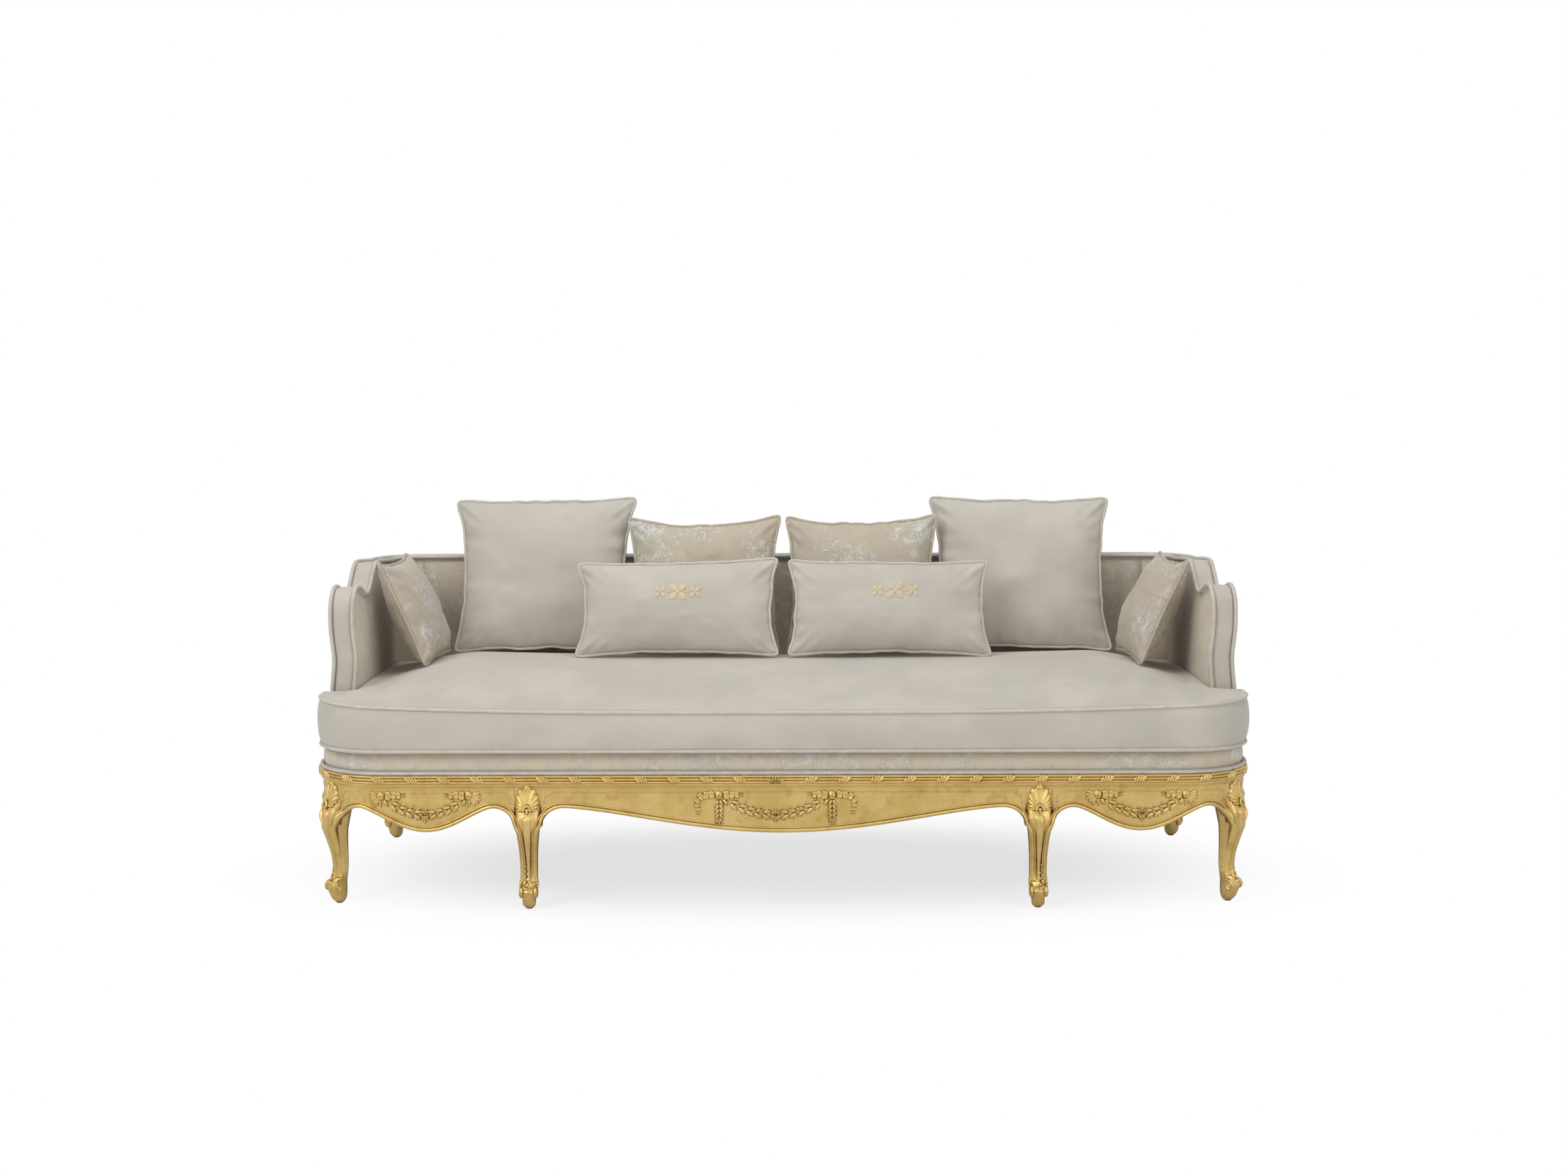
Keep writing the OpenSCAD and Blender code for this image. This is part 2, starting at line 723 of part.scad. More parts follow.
module posts_of_arms() {
    color(beech) placed() both_sides() intersection() {
        arm_run() wall_section(frame_out, frame_in, lap_z, crown_room);
        under_crest(band_t);
        translate([0, arm_y, 0]) cube([rail_w, band_t + arm_post_d, crown_room]);
    }
}

module rails_of_arms() {
    color(beech) placed() both_sides() difference() {
        intersection() {
            arm_run() wall_section(frame_out, frame_in, dip_z - 2 * top_rail_h, crown_room);
            under_crest(band_t);
            translate([0, arm_y + band_t + arm_post_d, 0]) cube([rail_w, rail_d, crown_room]);
        }
        under_crest(band_t + top_rail_h);
    }
}

module corner_posts() {
    color(beech) placed() both_sides() intersection() {
        turn_run() wall_section(frame_out, frame_in, rail_top, crown_room);
        under_crest(band_t);
    }
}

module top_rail() {
    color(beech) placed()
        back_run() wall_section(frame_out, frame_in, back_top - band_t - top_rail_h, back_top - band_t);
}

module low_rails() {
    color(beech) placed() {
        back_run() wall_section(frame_out, frame_in, tack_z, tack_z + tack_h);
        both_sides() intersection() {
            arm_run() wall_section(frame_out, frame_in, tack_z, tack_z + tack_h);
            translate([0, arm_y + band_t + arm_post_d, 0]) cube([rail_w, rail_d, crown_room]);
        }
    }
}

module uprights() {
    color(beech) placed() both_sides() for (k = [1.5, 4.5])
        translate([k * cross_pitch - upright_w / 2, rail_d - frame_in, 0]) {
            translate([0, 0, lap_z]) cube([upright_w, frame_in - frame_out, tack_z - lap_z]);
            translate([0, 0, tack_z + tack_h])
                cube([upright_w, frame_in - frame_out, back_top - band_t - top_rail_h - tack_z - tack_h]);
        }
}

// Pads and covers of the shell
module pad_back() {
    color(toile) placed() intersection() {
        back_run() pad_section();
        under_crest(band_t);
    }
}

module pad_corners() {
    color(toile) placed() both_sides() intersection() {
        turn_run() pad_section();
        under_crest(band_t);
    }
}

module pad_arm() {
    color(toile) placed() intersection() {
        arm_run() pad_section();
        under_crest(band_t);
    }
}

module cover_back() {
    color(velvet) placed() back_run() wall_section(shell_inset, frame_out, rail_top, back_top - band_t);
}

module cover_corners() {
    color(velvet) placed() both_sides() turn_run() wall_section(shell_inset, frame_out, rail_top, back_top - band_t);
}

module cover_arm() {
    color(velvet) placed() intersection() {
        arm_run() wall_section(shell_inset, frame_out, rail_top, crown_room);
        under_crest(band_t);
    }
}

// The band over the crest and down the arm fronts, cut from a wall along its run
module band_of() {
    color(velvet) placed() difference() {
        intersection() {
            children();
            under_crest(0);
        }
        under_crest(band_t);
    }
}

module band_wall() {
    wall_section(shell_inset, shell_in, pad_low, crown_room);
}

module arm_bands() {
    band_of() both_sides() arm_run() band_wall();
}

module corner_bands() {
    band_of() both_sides() turn_run() band_wall();
}

module back_band() {
    band_of() back_run() band_wall();
}

// Welts along the two edges of the band, standing off the edge by part of their radius
welt_sides = 6;

// Crest points with their outward normals in side view, from the arm front up and over to the corner
function crest_normals() =
    let (line = concat([[arm_y, pad_low], [arm_y, 0.5 * (pad_low + arm_top)]], crest()), n = len(line) - 2)
    [for (i = [0:n - 1]) let (d = line[i + 1] - line[max(0, i - 1)]) [line[i], [-d[1], d[0]] / norm(d)]];

// Half the route in plan and height, at a depth behind the rail face and a side step off the edge
function half_route(depth, out) = concat(
    [for (q = crest_normals()) let (p = q[0] + stand_share * welt_r * q[1]) [rail_w / 2 - depth + out, p[0], p[1]]],
    [for (a = [10:10:90]) let (r = rear_r - depth + out)
        [rear_c[0] + r * cos(a), rear_c[1] + r * sin(a), back_top + stand_share * welt_r]],
    [[rear_c[0] / 2, rail_d - depth + out, back_top + stand_share * welt_r]]);
function route(depth, out) = let (h = half_route(depth, out))
    concat(h, [for (p = reversed(h)) [-p[0], p[1], p[2]]]);

function unit(v) = v / norm(v);
function tube_ring(line, i) = let (n = len(line) - 1, d = unit(line[min(n, i + 1)] - line[max(0, i - 1)]),
        side = unit(cross(d, abs(d[2]) > 0.9 ? [1, 0, 0] : [0, 0, 1])), up = cross(d, side))
    [for (k = [0:welt_sides - 1]) let (a = 360 * k / welt_sides) line[i] + welt_r * (cos(a) * side + sin(a) * up)];

module tube(line) {
    stack([for (i = [0:len(line) - 1]) tube_ring(line, i)], line[0], line[len(line) - 1]);
}

module welt_outer() {
    color(cord) placed() tube(route(shell_inset, stand_share * welt_r));
}

module welt_inner() {
    color(cord) placed() tube(route(shell_in, -stand_share * welt_r));
}

// Seat cushion: border between two welts, crowned top; growth and height of each ring of the border as
// shares of its bulge and of its height
seat_bulge = 4;
seat_z = rail_top + deck_h + seam;
seat_sag = 24;
seat_side = shell_in + welt_stand + 2 * seam;
border_shares = [[-3, 0], [-1, 0.03], [0, 0.07], [-1.25, 0.125], [1, 0.52], [-1.25, 0.905], [0, 0.96], [-1, 1.02]];
peak = 0.53;
spine_x = 0.7 * seat_half_w;
spine_y = 0.7 * arm_y;
crown_shares = [0.04, 0.09, 0.145, 0.205, 0.28, 0.38, 0.53, 0.72, 0.96];

function seat_plan(grow) = tee(seat_half_w - seat_bulge + grow, seat_bulge - nose - grow, seat_r + grow,
    arm_y - welt_stand - 2 * seam - seat_bulge + grow, rail_w / 2 - seat_side - seat_bulge + grow,
    rail_d - seat_side - seat_bulge + grow, rear_r - shell_in, deck_inset);
function sag(x) = seat_sag * pow(abs(x) / seat_half_w, 3);
function rear_part(y) = max(0, (y + nose) / (rail_d - seat_side + nose) - peak) / (1 - peak);
function seat_fall(v) = v < peak ? pow(sin(90 * v / peak), 0.8) : 1 - pow((v - peak) / (1 - peak), 4);
function crown_z(x, y) = seat_crown * seat_fall((y + nose) / (rail_d - seat_side + nose))
    * pow(cos(90 * max(0, abs(x) - spine_x) / (seat_half_w - spine_x)), 2);
function border_ring(row) = [for (p = seat_plan(row[0] * seat_bulge))
    [p[0], p[1], seat_z + row[1] * seat_border + sag(p[0]) * row[1] / 1.02]];
function seat_top(x, y) = seat_z + seat_border + sag(x) + crown_z(x, y);
function crown_ring(t) = [for (p = seat_plan(-seat_bulge)) let (s = [max(-spine_x, min(spine_x, p[0])), spine_y],
        q = [p[0], p[1]] + t * (s - [p[0], p[1]])) [q[0], q[1], seat_top(q[0], q[1])]];

module seat() {
    color(velvet) placed()
        stack(concat([for (row = border_shares) border_ring(row)], [for (t = crown_shares) crown_ring(t)]),
            [0, hub_y, seat_z], [0, spine_y, seat_top(0, spine_y)]);
}

// Pillows: crowned faces, sides drawn in between the corners, and a corded seam round the edge
pillow_n = 12;
draw_share = 0.05;
corner_power = 14;
swell_power = 0.42;
seam_r = 4;

function spread(k) = sin(90 * (2 * k / pillow_n - 1));
function squircle(s, q) = max(abs(s), abs(q)) < 0.001 ? 1
    : max(abs(s), abs(q)) / pow(pow(abs(s), corner_power) + pow(abs(q), corner_power), 1 / corner_power);
function pillow_xz(w, h, s, q) = [w / 2 * s * squircle(s, q) * (1 - draw_share * (1 - q * q)),
    h / 2 * q * squircle(s, q) * (1 - draw_share * (1 - s * s))];
function swell(t, s, q) = t / 2 * pow(max(0, (1 - s * s) * (1 - q * q)), swell_power);
function face_points(w, h, t, side) = [for (j = [0:pillow_n]) for (i = [0:pillow_n])
    let (s = spread(i), q = spread(j), p = pillow_xz(w, h, s, q))
        [p[0], side * (swell(t, s, q) + 0.4 * seam_r), p[1]]];
function rim_index(k) = let (n = pillow_n, e = floor(k / n), r = k % n)
    e == 0 ? r : e == 1 ? r * (n + 1) + n : e == 2 ? n * (n + 1) + n - r : (n - r) * (n + 1);

function pillow_points(w, h, t) = let (v = w - 2 * seam_r, g = h - 2 * seam_r,
        front = face_points(v, g, t - seam_r, -1), back = face_points(v, g, t - seam_r, 1))
    concat(front, back, [for (k = [0:4 * pillow_n - 1]) let (p = front[rim_index(k)]) [p[0] * w / v, 0, p[2] * h / g]]);

module pillow(w, h, t) {
    n = pillow_n;
    total = (n + 1) * (n + 1);
    polyhedron(points = pillow_points(w, h, t), faces = concat(
        flat([for (j = [0:n - 1]) for (i = [0:n - 1]) let (a = j * (n + 1) + i, b = a + n + 1)
            [[a, b, b + 1], [a, b + 1, a + 1]]]),
        flat([for (j = [0:n - 1]) for (i = [0:n - 1]) let (a = total + j * (n + 1) + i, b = a + n + 1)
            [[a, b + 1, b], [a, a + 1, b + 1]]]),
        flat([for (k = [0:4 * n - 1]) let (m = (k + 1) % (4 * n), a = rim_index(k), b = rim_index(m),
                c = 2 * total + k, d = 2 * total + m)
            [[a, b, d], [a, d, c], [total + a, c, d], [total + a, d, total + b]]])));
}

// Where a pillow comes to rest: on the crowned seat, and for the leaning ones against the crest; a medium
// pillow stands as far in front of a large one as the two lap
seat_rear = rail_d - seat_side - seat_bulge;
facet_share = 0.02;
function seat_height(x, y) = abs(x) > spine_x ? seat_top(x, y) - seam - facet_share * seat_crown * pow(rear_part(y), 2)
    : lookup(y, [for (t = crown_shares) let (v = seat_rear - t * (seat_rear - spine_y)) [v, seat_top(x, v)]]);
function leant(p, tilt) = [p[0], p[1] * cos(tilt) + p[2] * sin(tilt), p[2] * cos(tilt) - p[1] * sin(tilt)];
function turned(p, yaw) = [p[0] * cos(yaw) + p[1] * sin(yaw), p[1] * cos(yaw) - p[0] * sin(yaw), p[2]];
function rest_z(points, x, y) = max([for (p = points) seat_height(x + p[0], y + p[1]) - p[2]]) + 1.8 * seam;
function lean_y(z, out) = rail_d - shell_in - (out + (back_top - z) * sin(lean)) / cos(lean);
function lean_at(x, out, points, z, tries) = let (y = lean_y(z, out))
    tries == 0 ? [x, y, z] : lean_at(x, out, points, rest_z(points, x, y), tries - 1);

module leaning(x, out, w, h, t) {
    points = [for (p = pillow_points(w, h, t)) leant(p, lean)];
    placed() translate(lean_at(x, out, points, back_top, 3)) rotate([-lean, 0, 0]) pillow(w, h, t);
}

pillow_gap = 3;
crest_stand = welt_r * (1 + stand_share * (cos(lean) + sin(lean)));
large_x = 0.28326 * rail_w;
medium_x = medium_w / 2 + pillow_gap;
lumbar_x = lumbar_w / 2 + 2 * pillow_gap;
lap = max(0, medium_x + medium_w / 2 - large_x + large_w / 2);
large_out = 0.5 * large_t + crest_stand + 2 * seam;
medium_out = large_out + swell(large_t, 1 - lap / large_w, 0) + swell(medium_t, 1 - lap / medium_w, 0);
lumbar_out = medium_out + (medium_t + lumbar_t) / 2 + pillow_gap;
small_stand = 175;
small_y = 532;
small_at = [rail_w / 2 - small_stand, small_y];
small_yaw = 88;
small_lean = 24;

module large() {
    color(velvet) leaning(large_x, large_out, large_w, large_h, large_t);
}

module medium() {
    color(toile) leaning(medium_x, medium_out, medium_w, medium_h, medium_t);
}

module lumbar() {
    color(velvet) leaning(lumbar_x, lumbar_out, lumbar_w, lumbar_h, lumbar_t);
}

module small() {
    points = [for (p = pillow_points(small_w, small_h, small_t)) turned(leant(p, small_lean), small_yaw)];
    color(toile) placed() translate([small_at[0], small_at[1], rest_z(points, small_at[0], small_at[1])])
        rotate([0, 0, -small_yaw]) rotate([-small_lean, 0, 0]) pillow(small_w, small_h, small_t);
}

module left() {
    mirror([1, 0, 0]) children();
}

rail_middle();  // front_rail_middle
left() rail_bay();  // front_rail_left
rail_bay();  // front_rail_right
left() rail_side();  // side_rail_left
rail_side();  // side_rail_right
rail_rear();  // rear_rail
left() leg_front();  // front_leg_left
leg_front();  // front_leg_right
left() leg_inner();  // inner_leg_left
leg_inner();  // inner_leg_right
left() leg_rear();  // rear_leg_left
leg_rear();  // rear_leg_right
moulding_front();  // front_moulding
left() moulding_side();  // side_moulding_left
moulding_side();  // side_moulding_right
moulding_rear();  // rear_moulding
garland_long();  // garland_middle
left() garland_short();  // garland_left
garland_short();  // garland_right
blocks();  // corner_blocks
stretchers();  // seat_stretchers
strips_long();  // webbing_long
strips_cross();  // webbing_cross
under_cloth();  // dust_cover
deck();  // seat_deck
deck_cord();  // deck_welt
posts_of_arms();  // arm_posts
rails_of_arms();  // arm_rails
corner_posts();  // back_corner_posts
top_rail();  // back_top_rail
low_rails();  // tack_rails
uprights();  // back_uprights
pad_back();  // inside_back
pad_corners();  // inside_corners
left() pad_arm();  // inside_arm_left
pad_arm();  // inside_arm_right
cover_back();  // outside_back
cover_corners();  // outside_corners
left() cover_arm();  // outside_arm_left
cover_arm();  // outside_arm_right
back_band();  // band_back
corner_bands();  // band_corners
arm_bands();  // band_arms
welt_outer();  // outer_welt
welt_inner();  // inner_welt
seat();  // seat_cushion
left() large();  // large_pillow_left
large();  // large_pillow_right
left() medium();  // medium_pillow_left
medium();  // medium_pillow_right
left() lumbar();  // lumbar_pillow_left
lumbar();  // lumbar_pillow_right
left() small();  // small_pillow_left
small();  // small_pillow_right
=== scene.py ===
"""Cabriole sofa: carved gilt frame, upholstered arms and back, long seat cushion and loose pillows."""

import math

import bpy
import numpy as np
from mathutils import Matrix, Vector, noise
from mathutils.bvhtree import BVHTree


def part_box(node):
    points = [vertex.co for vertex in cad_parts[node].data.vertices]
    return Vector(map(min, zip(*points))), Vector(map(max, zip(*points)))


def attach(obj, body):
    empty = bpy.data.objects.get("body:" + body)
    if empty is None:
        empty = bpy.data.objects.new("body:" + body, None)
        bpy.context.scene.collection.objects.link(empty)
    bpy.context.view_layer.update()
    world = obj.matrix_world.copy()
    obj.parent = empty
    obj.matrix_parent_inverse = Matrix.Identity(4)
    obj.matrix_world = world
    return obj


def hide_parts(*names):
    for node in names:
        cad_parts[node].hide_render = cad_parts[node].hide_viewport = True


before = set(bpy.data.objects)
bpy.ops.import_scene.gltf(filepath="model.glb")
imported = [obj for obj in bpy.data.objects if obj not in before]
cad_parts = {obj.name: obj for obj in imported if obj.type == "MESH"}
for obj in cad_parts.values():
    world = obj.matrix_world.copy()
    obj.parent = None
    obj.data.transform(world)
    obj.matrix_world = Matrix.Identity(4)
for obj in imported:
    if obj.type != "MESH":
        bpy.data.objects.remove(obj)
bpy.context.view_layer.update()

bl_info = {
    "name": "Cabriole sofa",
    "version": (1, 0, 0),
    "blender": (4, 5, 0),
    "location": "View3D > Sidebar > Sofa",
    "description": "Carves and gilds the frame, covers the arms and back, and fills the cushions",
    "category": "Object",
}

ROOT = "sofa"

# Plan of the seat frame in metres: the face of the front rail, half the width, and the corners
FRONT_Y = -0.439
HALF_W = 1.165
DEPTH = 0.900
FRONT_R = 0.190
REAR_R = 0.150
RAIL_TOP = 0.335
MOULDING_H = 0.036
ARCH_Z = 0.254
EAR_Z = 0.204
EAR_W = 0.054
POST_W = 0.066
POST_D = 0.062
INNER_X = 0.2695 * 2 * HALF_W
BAY_X = 0.3777 * 2 * HALF_W
FRONT_TURN = math.radians(50)
REAR_TURN = math.radians(135)

# Where the flat runs of the plan end
FRONT_FLAT = HALF_W - FRONT_R
REAR_FLAT = HALF_W - REAR_R
REAR_Y = DEPTH - REAR_R

# Distances round the rail faces from the middle front to the end of the front corner, of the side and of the
# rear corner
CORNER_END = FRONT_FLAT + FRONT_R * math.pi / 2
SIDE_END = CORNER_END + REAR_Y - FRONT_R
REAR_END = SIDE_END + REAR_R * math.pi / 2

# Upholstered shell: depths behind the rail face and the heights of its crest
SHELL_OUT = 0.027
SHELL_IN = 0.075
LINING = 0.030
PAD_BACK = 0.054
ARM_Y = 0.198
ARM_ROUND = 0.042
ARM_TOP = 0.775
DIP_AT = (0.373, 0.745)
WING_AT = (0.508, 0.817)
BACK_TOP = 0.805
DECK_TOP = 0.391
WELT_R = 0.005
WELT_STAND = 0.74 * WELT_R

# Deck, set in from the rail face, with a border that bulges
DECK_INSET = 0.007
DECK_BULGE = 0.005

# Seat cushion
SEAT_Z = 0.3914
SEAT_BORDER = 0.096
SEAT_LIP = 0.008
SEAT_TALL = SEAT_BORDER + SEAT_LIP
SEAT_CROWN = 0.074
SEAT_HALF_W = 1.163
SEAT_SPINE = 0.7 * SEAT_HALF_W
SEAT_HUB_Y = 0.7 * ARM_Y
SEAT_NOSE = 0.032
SEAT_R = 0.170
SEAT_SAG = 0.024
SEAT_BULGE = 0.004
SEAT_SIDE = 0.0845
SEAT_GAP = 0.0095
EAR_ROUND = 0.007
SEAT_PIPING = 0.0040


class SofaColours(bpy.types.PropertyGroup):
    """Colours of the gilding and the fabrics"""

    gold: bpy.props.FloatVectorProperty(
        name="Gold leaf", description="Colour of the burnished gold leaf", subtype="COLOR",
        default=(0.540, 0.374, 0.122), min=0.0, max=1.0)
    # Umber that the hollows of the carving are darkened with: partly the gilding's own antique umber, partly
    # painted shade
    wash_and_shade: bpy.props.FloatVectorProperty(
        name="Umber wash", description="Dark wash that stays in the hollows of the carving", subtype="COLOR",
        default=(0.105, 0.058, 0.018), min=0.0, max=1.0)
    velvet: bpy.props.FloatVectorProperty(
        name="Velvet", description="Pale velvet of the band, seat cushion and plain pillows", subtype="COLOR",
        default=(0.520, 0.485, 0.425), min=0.0, max=1.0)
    toile_ground: bpy.props.FloatVectorProperty(
        name="Toile ground", description="Ground of the patterned fabric", subtype="COLOR",
        default=(0.500, 0.436, 0.343), min=0.0, max=1.0)
    toile_cream: bpy.props.FloatVectorProperty(
        name="Toile cream", description="Cream yarn of the pattern", subtype="COLOR",
        default=(0.735, 0.690, 0.590), min=0.0, max=1.0)
    toile_blue: bpy.props.FloatVectorProperty(
        name="Toile blue", description="Silvery blue yarn of the pattern", subtype="COLOR",
        default=(0.620, 0.695, 0.700), min=0.0, max=1.0)
    thread: bpy.props.FloatVectorProperty(
        name="Gold thread", description="Thread of the motif on the lumbar pillows", subtype="COLOR",
        default=(0.66, 0.55, 0.35), min=0.0, max=1.0)
    beech: bpy.props.FloatVectorProperty(
        name="Beech", description="Bare wood of the hidden frame", subtype="COLOR",
        default=(0.60, 0.40, 0.22), min=0.0, max=1.0)


class SofaSizes(bpy.types.PropertyGroup):
    """Sizes of the carving and the sewing"""

    relief: bpy.props.FloatProperty(
        name="Carving relief", description="How far the garlands stand off the apron", unit="LENGTH",
        default=0.0055, min=0.003, max=0.009)
    wrap_pitch: bpy.props.FloatProperty(
        name="Wrap spacing", description="Distance between the leaf wraps on the moulding", unit="LENGTH",
        default=0.0805, min=0.05, max=0.15)
    piping: bpy.props.FloatProperty(
        name="Piping", description="Radius of the piping on the pillows", unit="LENGTH",
        default=0.0040, min=0.002, max=0.008)
    fill: bpy.props.FloatProperty(
        name="Fill", description="Pressure that fills the pillows in the cloth simulation",
        default=5.0, min=1.0, max=12.0)


def smoothstep(low, high, v):
    t = np.clip((np.asarray(v, float) - low) / (high - low), 0, 1)
    return t * t * (3 - 2 * t)


def bump_at(v, centre, half):
    """A round bump of height 1 at centre that ends half a width away."""
    return np.clip(1 - ((np.asarray(v, float) - centre) / half) ** 2, 0, 1)


def ripple(x, y, z):
    return noise.noise(Vector((x, y, z)))


# Meshes

def finished(name, mesh, finish, body, *nodes):
    """Makes the piece of a mesh: its finish, the body it rides on and the nodes it stands for."""
    piece = bpy.data.objects.new(name, mesh)
    bpy.context.scene.collection.objects.link(piece)
    mesh.materials.clear()
    mesh.materials.append(finish_of(finish))
    mesh.shade_smooth()
    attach(piece, body)
    if nodes:
        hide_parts(*nodes)
    return piece


def rim_of(m, n):
    """Numbers of the points round the rim of a grid of m rows of n points."""
    return (list(range(n)) + [j * n + n - 1 for j in range(1, m)]
            + [(m - 1) * n + i for i in range(n - 2, -1, -1)] + [j * n for j in range(m - 2, 0, -1)])


class Form:
    """Collects grids of points into one mesh."""

    def __init__(self):
        self.points = []
        self.faces = []

    def patch(self, points):
        first = len(self.points)
        self.points.extend(tuple(p) for p in points)
        return first

    def grid(self, rows, wrap=False, flip=False):
        """A sheet of quads through equal rows of points; wrap joins each row's last point to its first."""
        n = len(rows[0])
        first = self.patch([p for row in rows for p in row])
        span = n if wrap else n - 1
        for j in range(len(rows) - 1):
            for i in range(span):
                a = first + j * n + i
                b = first + j * n + (i + 1) % n
                quad = (a, b, b + n, a + n)
                self.faces.append(quad[::-1] if flip else quad)
        return first

    def shut(self, rows, flip=False):
        """A closed body through rings of points, with a fan at each end."""
        n = len(rows[0])
        first = self.grid(rows, wrap=True, flip=flip)
        last = first + (len(rows) - 1) * n
        for start, row, turn in ((first, rows[0], not flip), (last, rows[-1], flip)):
            hub = self.patch([tuple(np.mean(np.array(row, float), axis=0))])
            for i in range(n):
                tri = (start + i, start + (i + 1) % n, hub)
                self.faces.append(tri[::-1] if turn else tri)

    def slab(self, front, back, flip=False):
        """A closed pad between two equal grids of points."""
        a = self.grid(front, flip=flip)
        b = self.grid(back, flip=not flip)
        rim = rim_of(len(front), len(front[0]))
        for k, r in enumerate(rim):
            s = rim[(k + 1) % len(rim)]
            quad = (a + s, a + r, b + r, b + s)
            self.faces.append(quad[::-1] if flip else quad)

    def relief(self, grid, place):
        """A carved shape, a grid of (across, up, rise) with a low rim, set on a surface and closed behind."""
        rows = [[place(*p) for p in row] for row in grid]
        first = self.grid(rows)
        self.faces.append(tuple(first + r for r in reversed(rim_of(len(rows), len(rows[0])))))

    def mesh(self, name, mirror=False):
        points = np.array(self.points, float)
        faces = self.faces
        if mirror:
            points = points * np.array((-1.0, 1.0, 1.0))
            faces = [f[::-1] for f in faces]
        mesh = bpy.data.meshes.new(name)
        mesh.from_pydata(points.tolist(), [], faces)
        mesh.validate()
        mesh.update()
        return mesh


def tube(form, line, radius, sides=10, closed=False):
    """A round cord along a line of points. Radius is one number, or one for each point."""
    pts = np.array(line, float)
    n = len(pts)
    radii = np.broadcast_to(radius, (n,))
    ahead = np.roll(pts, -1, axis=0) if closed else np.vstack((pts[1:], pts[-1:]))
    behind = np.roll(pts, 1, axis=0) if closed else np.vstack((pts[:1], pts[:-1]))
    run = ahead - behind
    run /= np.linalg.norm(run, axis=1)[:, None]
    up = np.array((0.0, 0.0, 1.0)) if abs(run[0][2]) < 0.9 else np.array((1.0, 0.0, 0.0))
    rings = []
    for p, d, r in zip(pts, run, radii):
        up = up - d * np.dot(up, d)
        up /= np.linalg.norm(up)
        side = np.cross(d, up)
        rings.append([p + r * (math.cos(t) * side + math.sin(t) * up)
                      for t in np.linspace(0, 2 * math.pi, sides, endpoint=False)])
    if closed:
        rings.append(rings[0])
        form.grid(rings, wrap=True, flip=True)
    else:
        form.shut(rings, flip=True)


def smooth_line(points, step):
    """Points at even steps along a line, its corners softened."""
    pts = np.array(points, float)
    along = np.concatenate(([0], np.cumsum(np.linalg.norm(np.diff(pts, axis=0), axis=1))))
    count = max(4, int(along[-1] / step))
    at = np.linspace(0, along[-1], count)
    line = np.stack([np.interp(at, along, pts[:, k]) for k in range(pts.shape[1])], axis=1)
    for _ in range(3):
        line[1:-1] = (line[:-2] + 2 * line[1:-1] + line[2:]) / 4
    return line


# Finishes

class Nodes:
    """A node tree, drawn up node by node."""

    def __init__(self, tree):
        self.nodes = tree.nodes
        self.links = tree.links

    def feed(self, socket, value):
        if isinstance(value, bpy.types.NodeSocket):
            self.links.new(value, socket)
        elif socket.type == "RGBA":
            socket.default_value = (*value[:3], 1.0)
        else:
            socket.default_value = value

    def add(self, kind, inputs, **settings):
        node = self.nodes.new("ShaderNode" + kind)
        for key, value in settings.items():
            setattr(node, key, value)
        for key, value in inputs.items():
            self.feed(node.inputs[key], value)
        return node

    def sum(self, kind, a, b):
        return self.add("Math", {0: a, 1: b}, operation=kind).outputs[0]


class Finish(Nodes):
    """A procedural material in the object's own coordinates, with plain values on its shader's sockets."""

    def __init__(self, name, plain):
        self.material = bpy.data.materials.new(name)
        self.material.use_nodes = True
        super().__init__(self.material.node_tree)
        self.shader = self.nodes["Principled BSDF"]
        for key, value in plain.items():
            self.feed(self.shader.inputs[key], value)
        self.where = self.nodes.new("ShaderNodeTexCoord").outputs["Object"]

    def noise(self, scale, detail=2.0, rough=0.5, where=None):
        return self.add("TexNoise", {"Vector": where or self.where, "Scale": scale, "Detail": detail,
                                     "Roughness": rough})

    def grain(self, scale, detail=2.0, rough=0.5, where=None):
        return self.noise(scale, detail, rough, where).outputs["Fac"]

    def stretch(self, x, y, z):
        return self.add("Mapping", {"Vector": self.where, "Scale": (x, y, z)}).outputs["Vector"]

    def offset(self, kind, a, b):
        return self.add("VectorMath", {0: a, 1: b}, operation=kind).outputs[0]

    def between(self, value, low, high, out_low=0.0, out_high=1.0, easing="SMOOTHSTEP"):
        node = self.add("MapRange", {"Value": value, "From Min": low, "From Max": high,
                                     "To Min": out_low, "To Max": out_high}, interpolation_type=easing)
        return node.outputs["Result"]

    def mix(self, share, a, b):
        return self.add("Mix", {0: share, 6: a, 7: b}, data_type="RGBA").outputs[2]

    def bump(self, height, depth, below=None):
        inputs = {"Height": height, "Strength": 1.0, "Distance": depth}
        if below is not None:
            inputs["Normal"] = below
        return self.add("Bump", inputs).outputs["Normal"]

    def bands(self, scale, direction, **inputs):
        return self.add("TexWave", {"Vector": self.where, "Scale": scale, **inputs},
                        wave_type="BANDS", bands_direction=direction).outputs["Fac"]

    def weave(self, pitch):
        """Height of a plain weave whose threads are a pitch apart in all three directions."""
        scale = 1 / pitch / (2 * math.pi) * 0.5
        height = None
        for axis in ("X", "Y", "Z"):
            band = self.bands(scale, axis, **{"Distortion": 0.6, "Detail": 1.0, "Detail Scale": 2.0})
            height = band if height is None else self.sum("ADD", height, band)
        return height

    def settle(self, colour, normal, roughness=None):
        """Wires the colour, the relief and, where it varies, the roughness."""
        for key, value in (("Base Color", colour), ("Normal", normal), ("Roughness", roughness)):
            if value is not None:
                self.links.new(value, self.shader.inputs[key])
        return self.material


def colours():
    return bpy.context.scene.sofa_colours


def sizes():
    return bpy.context.scene.sofa_sizes


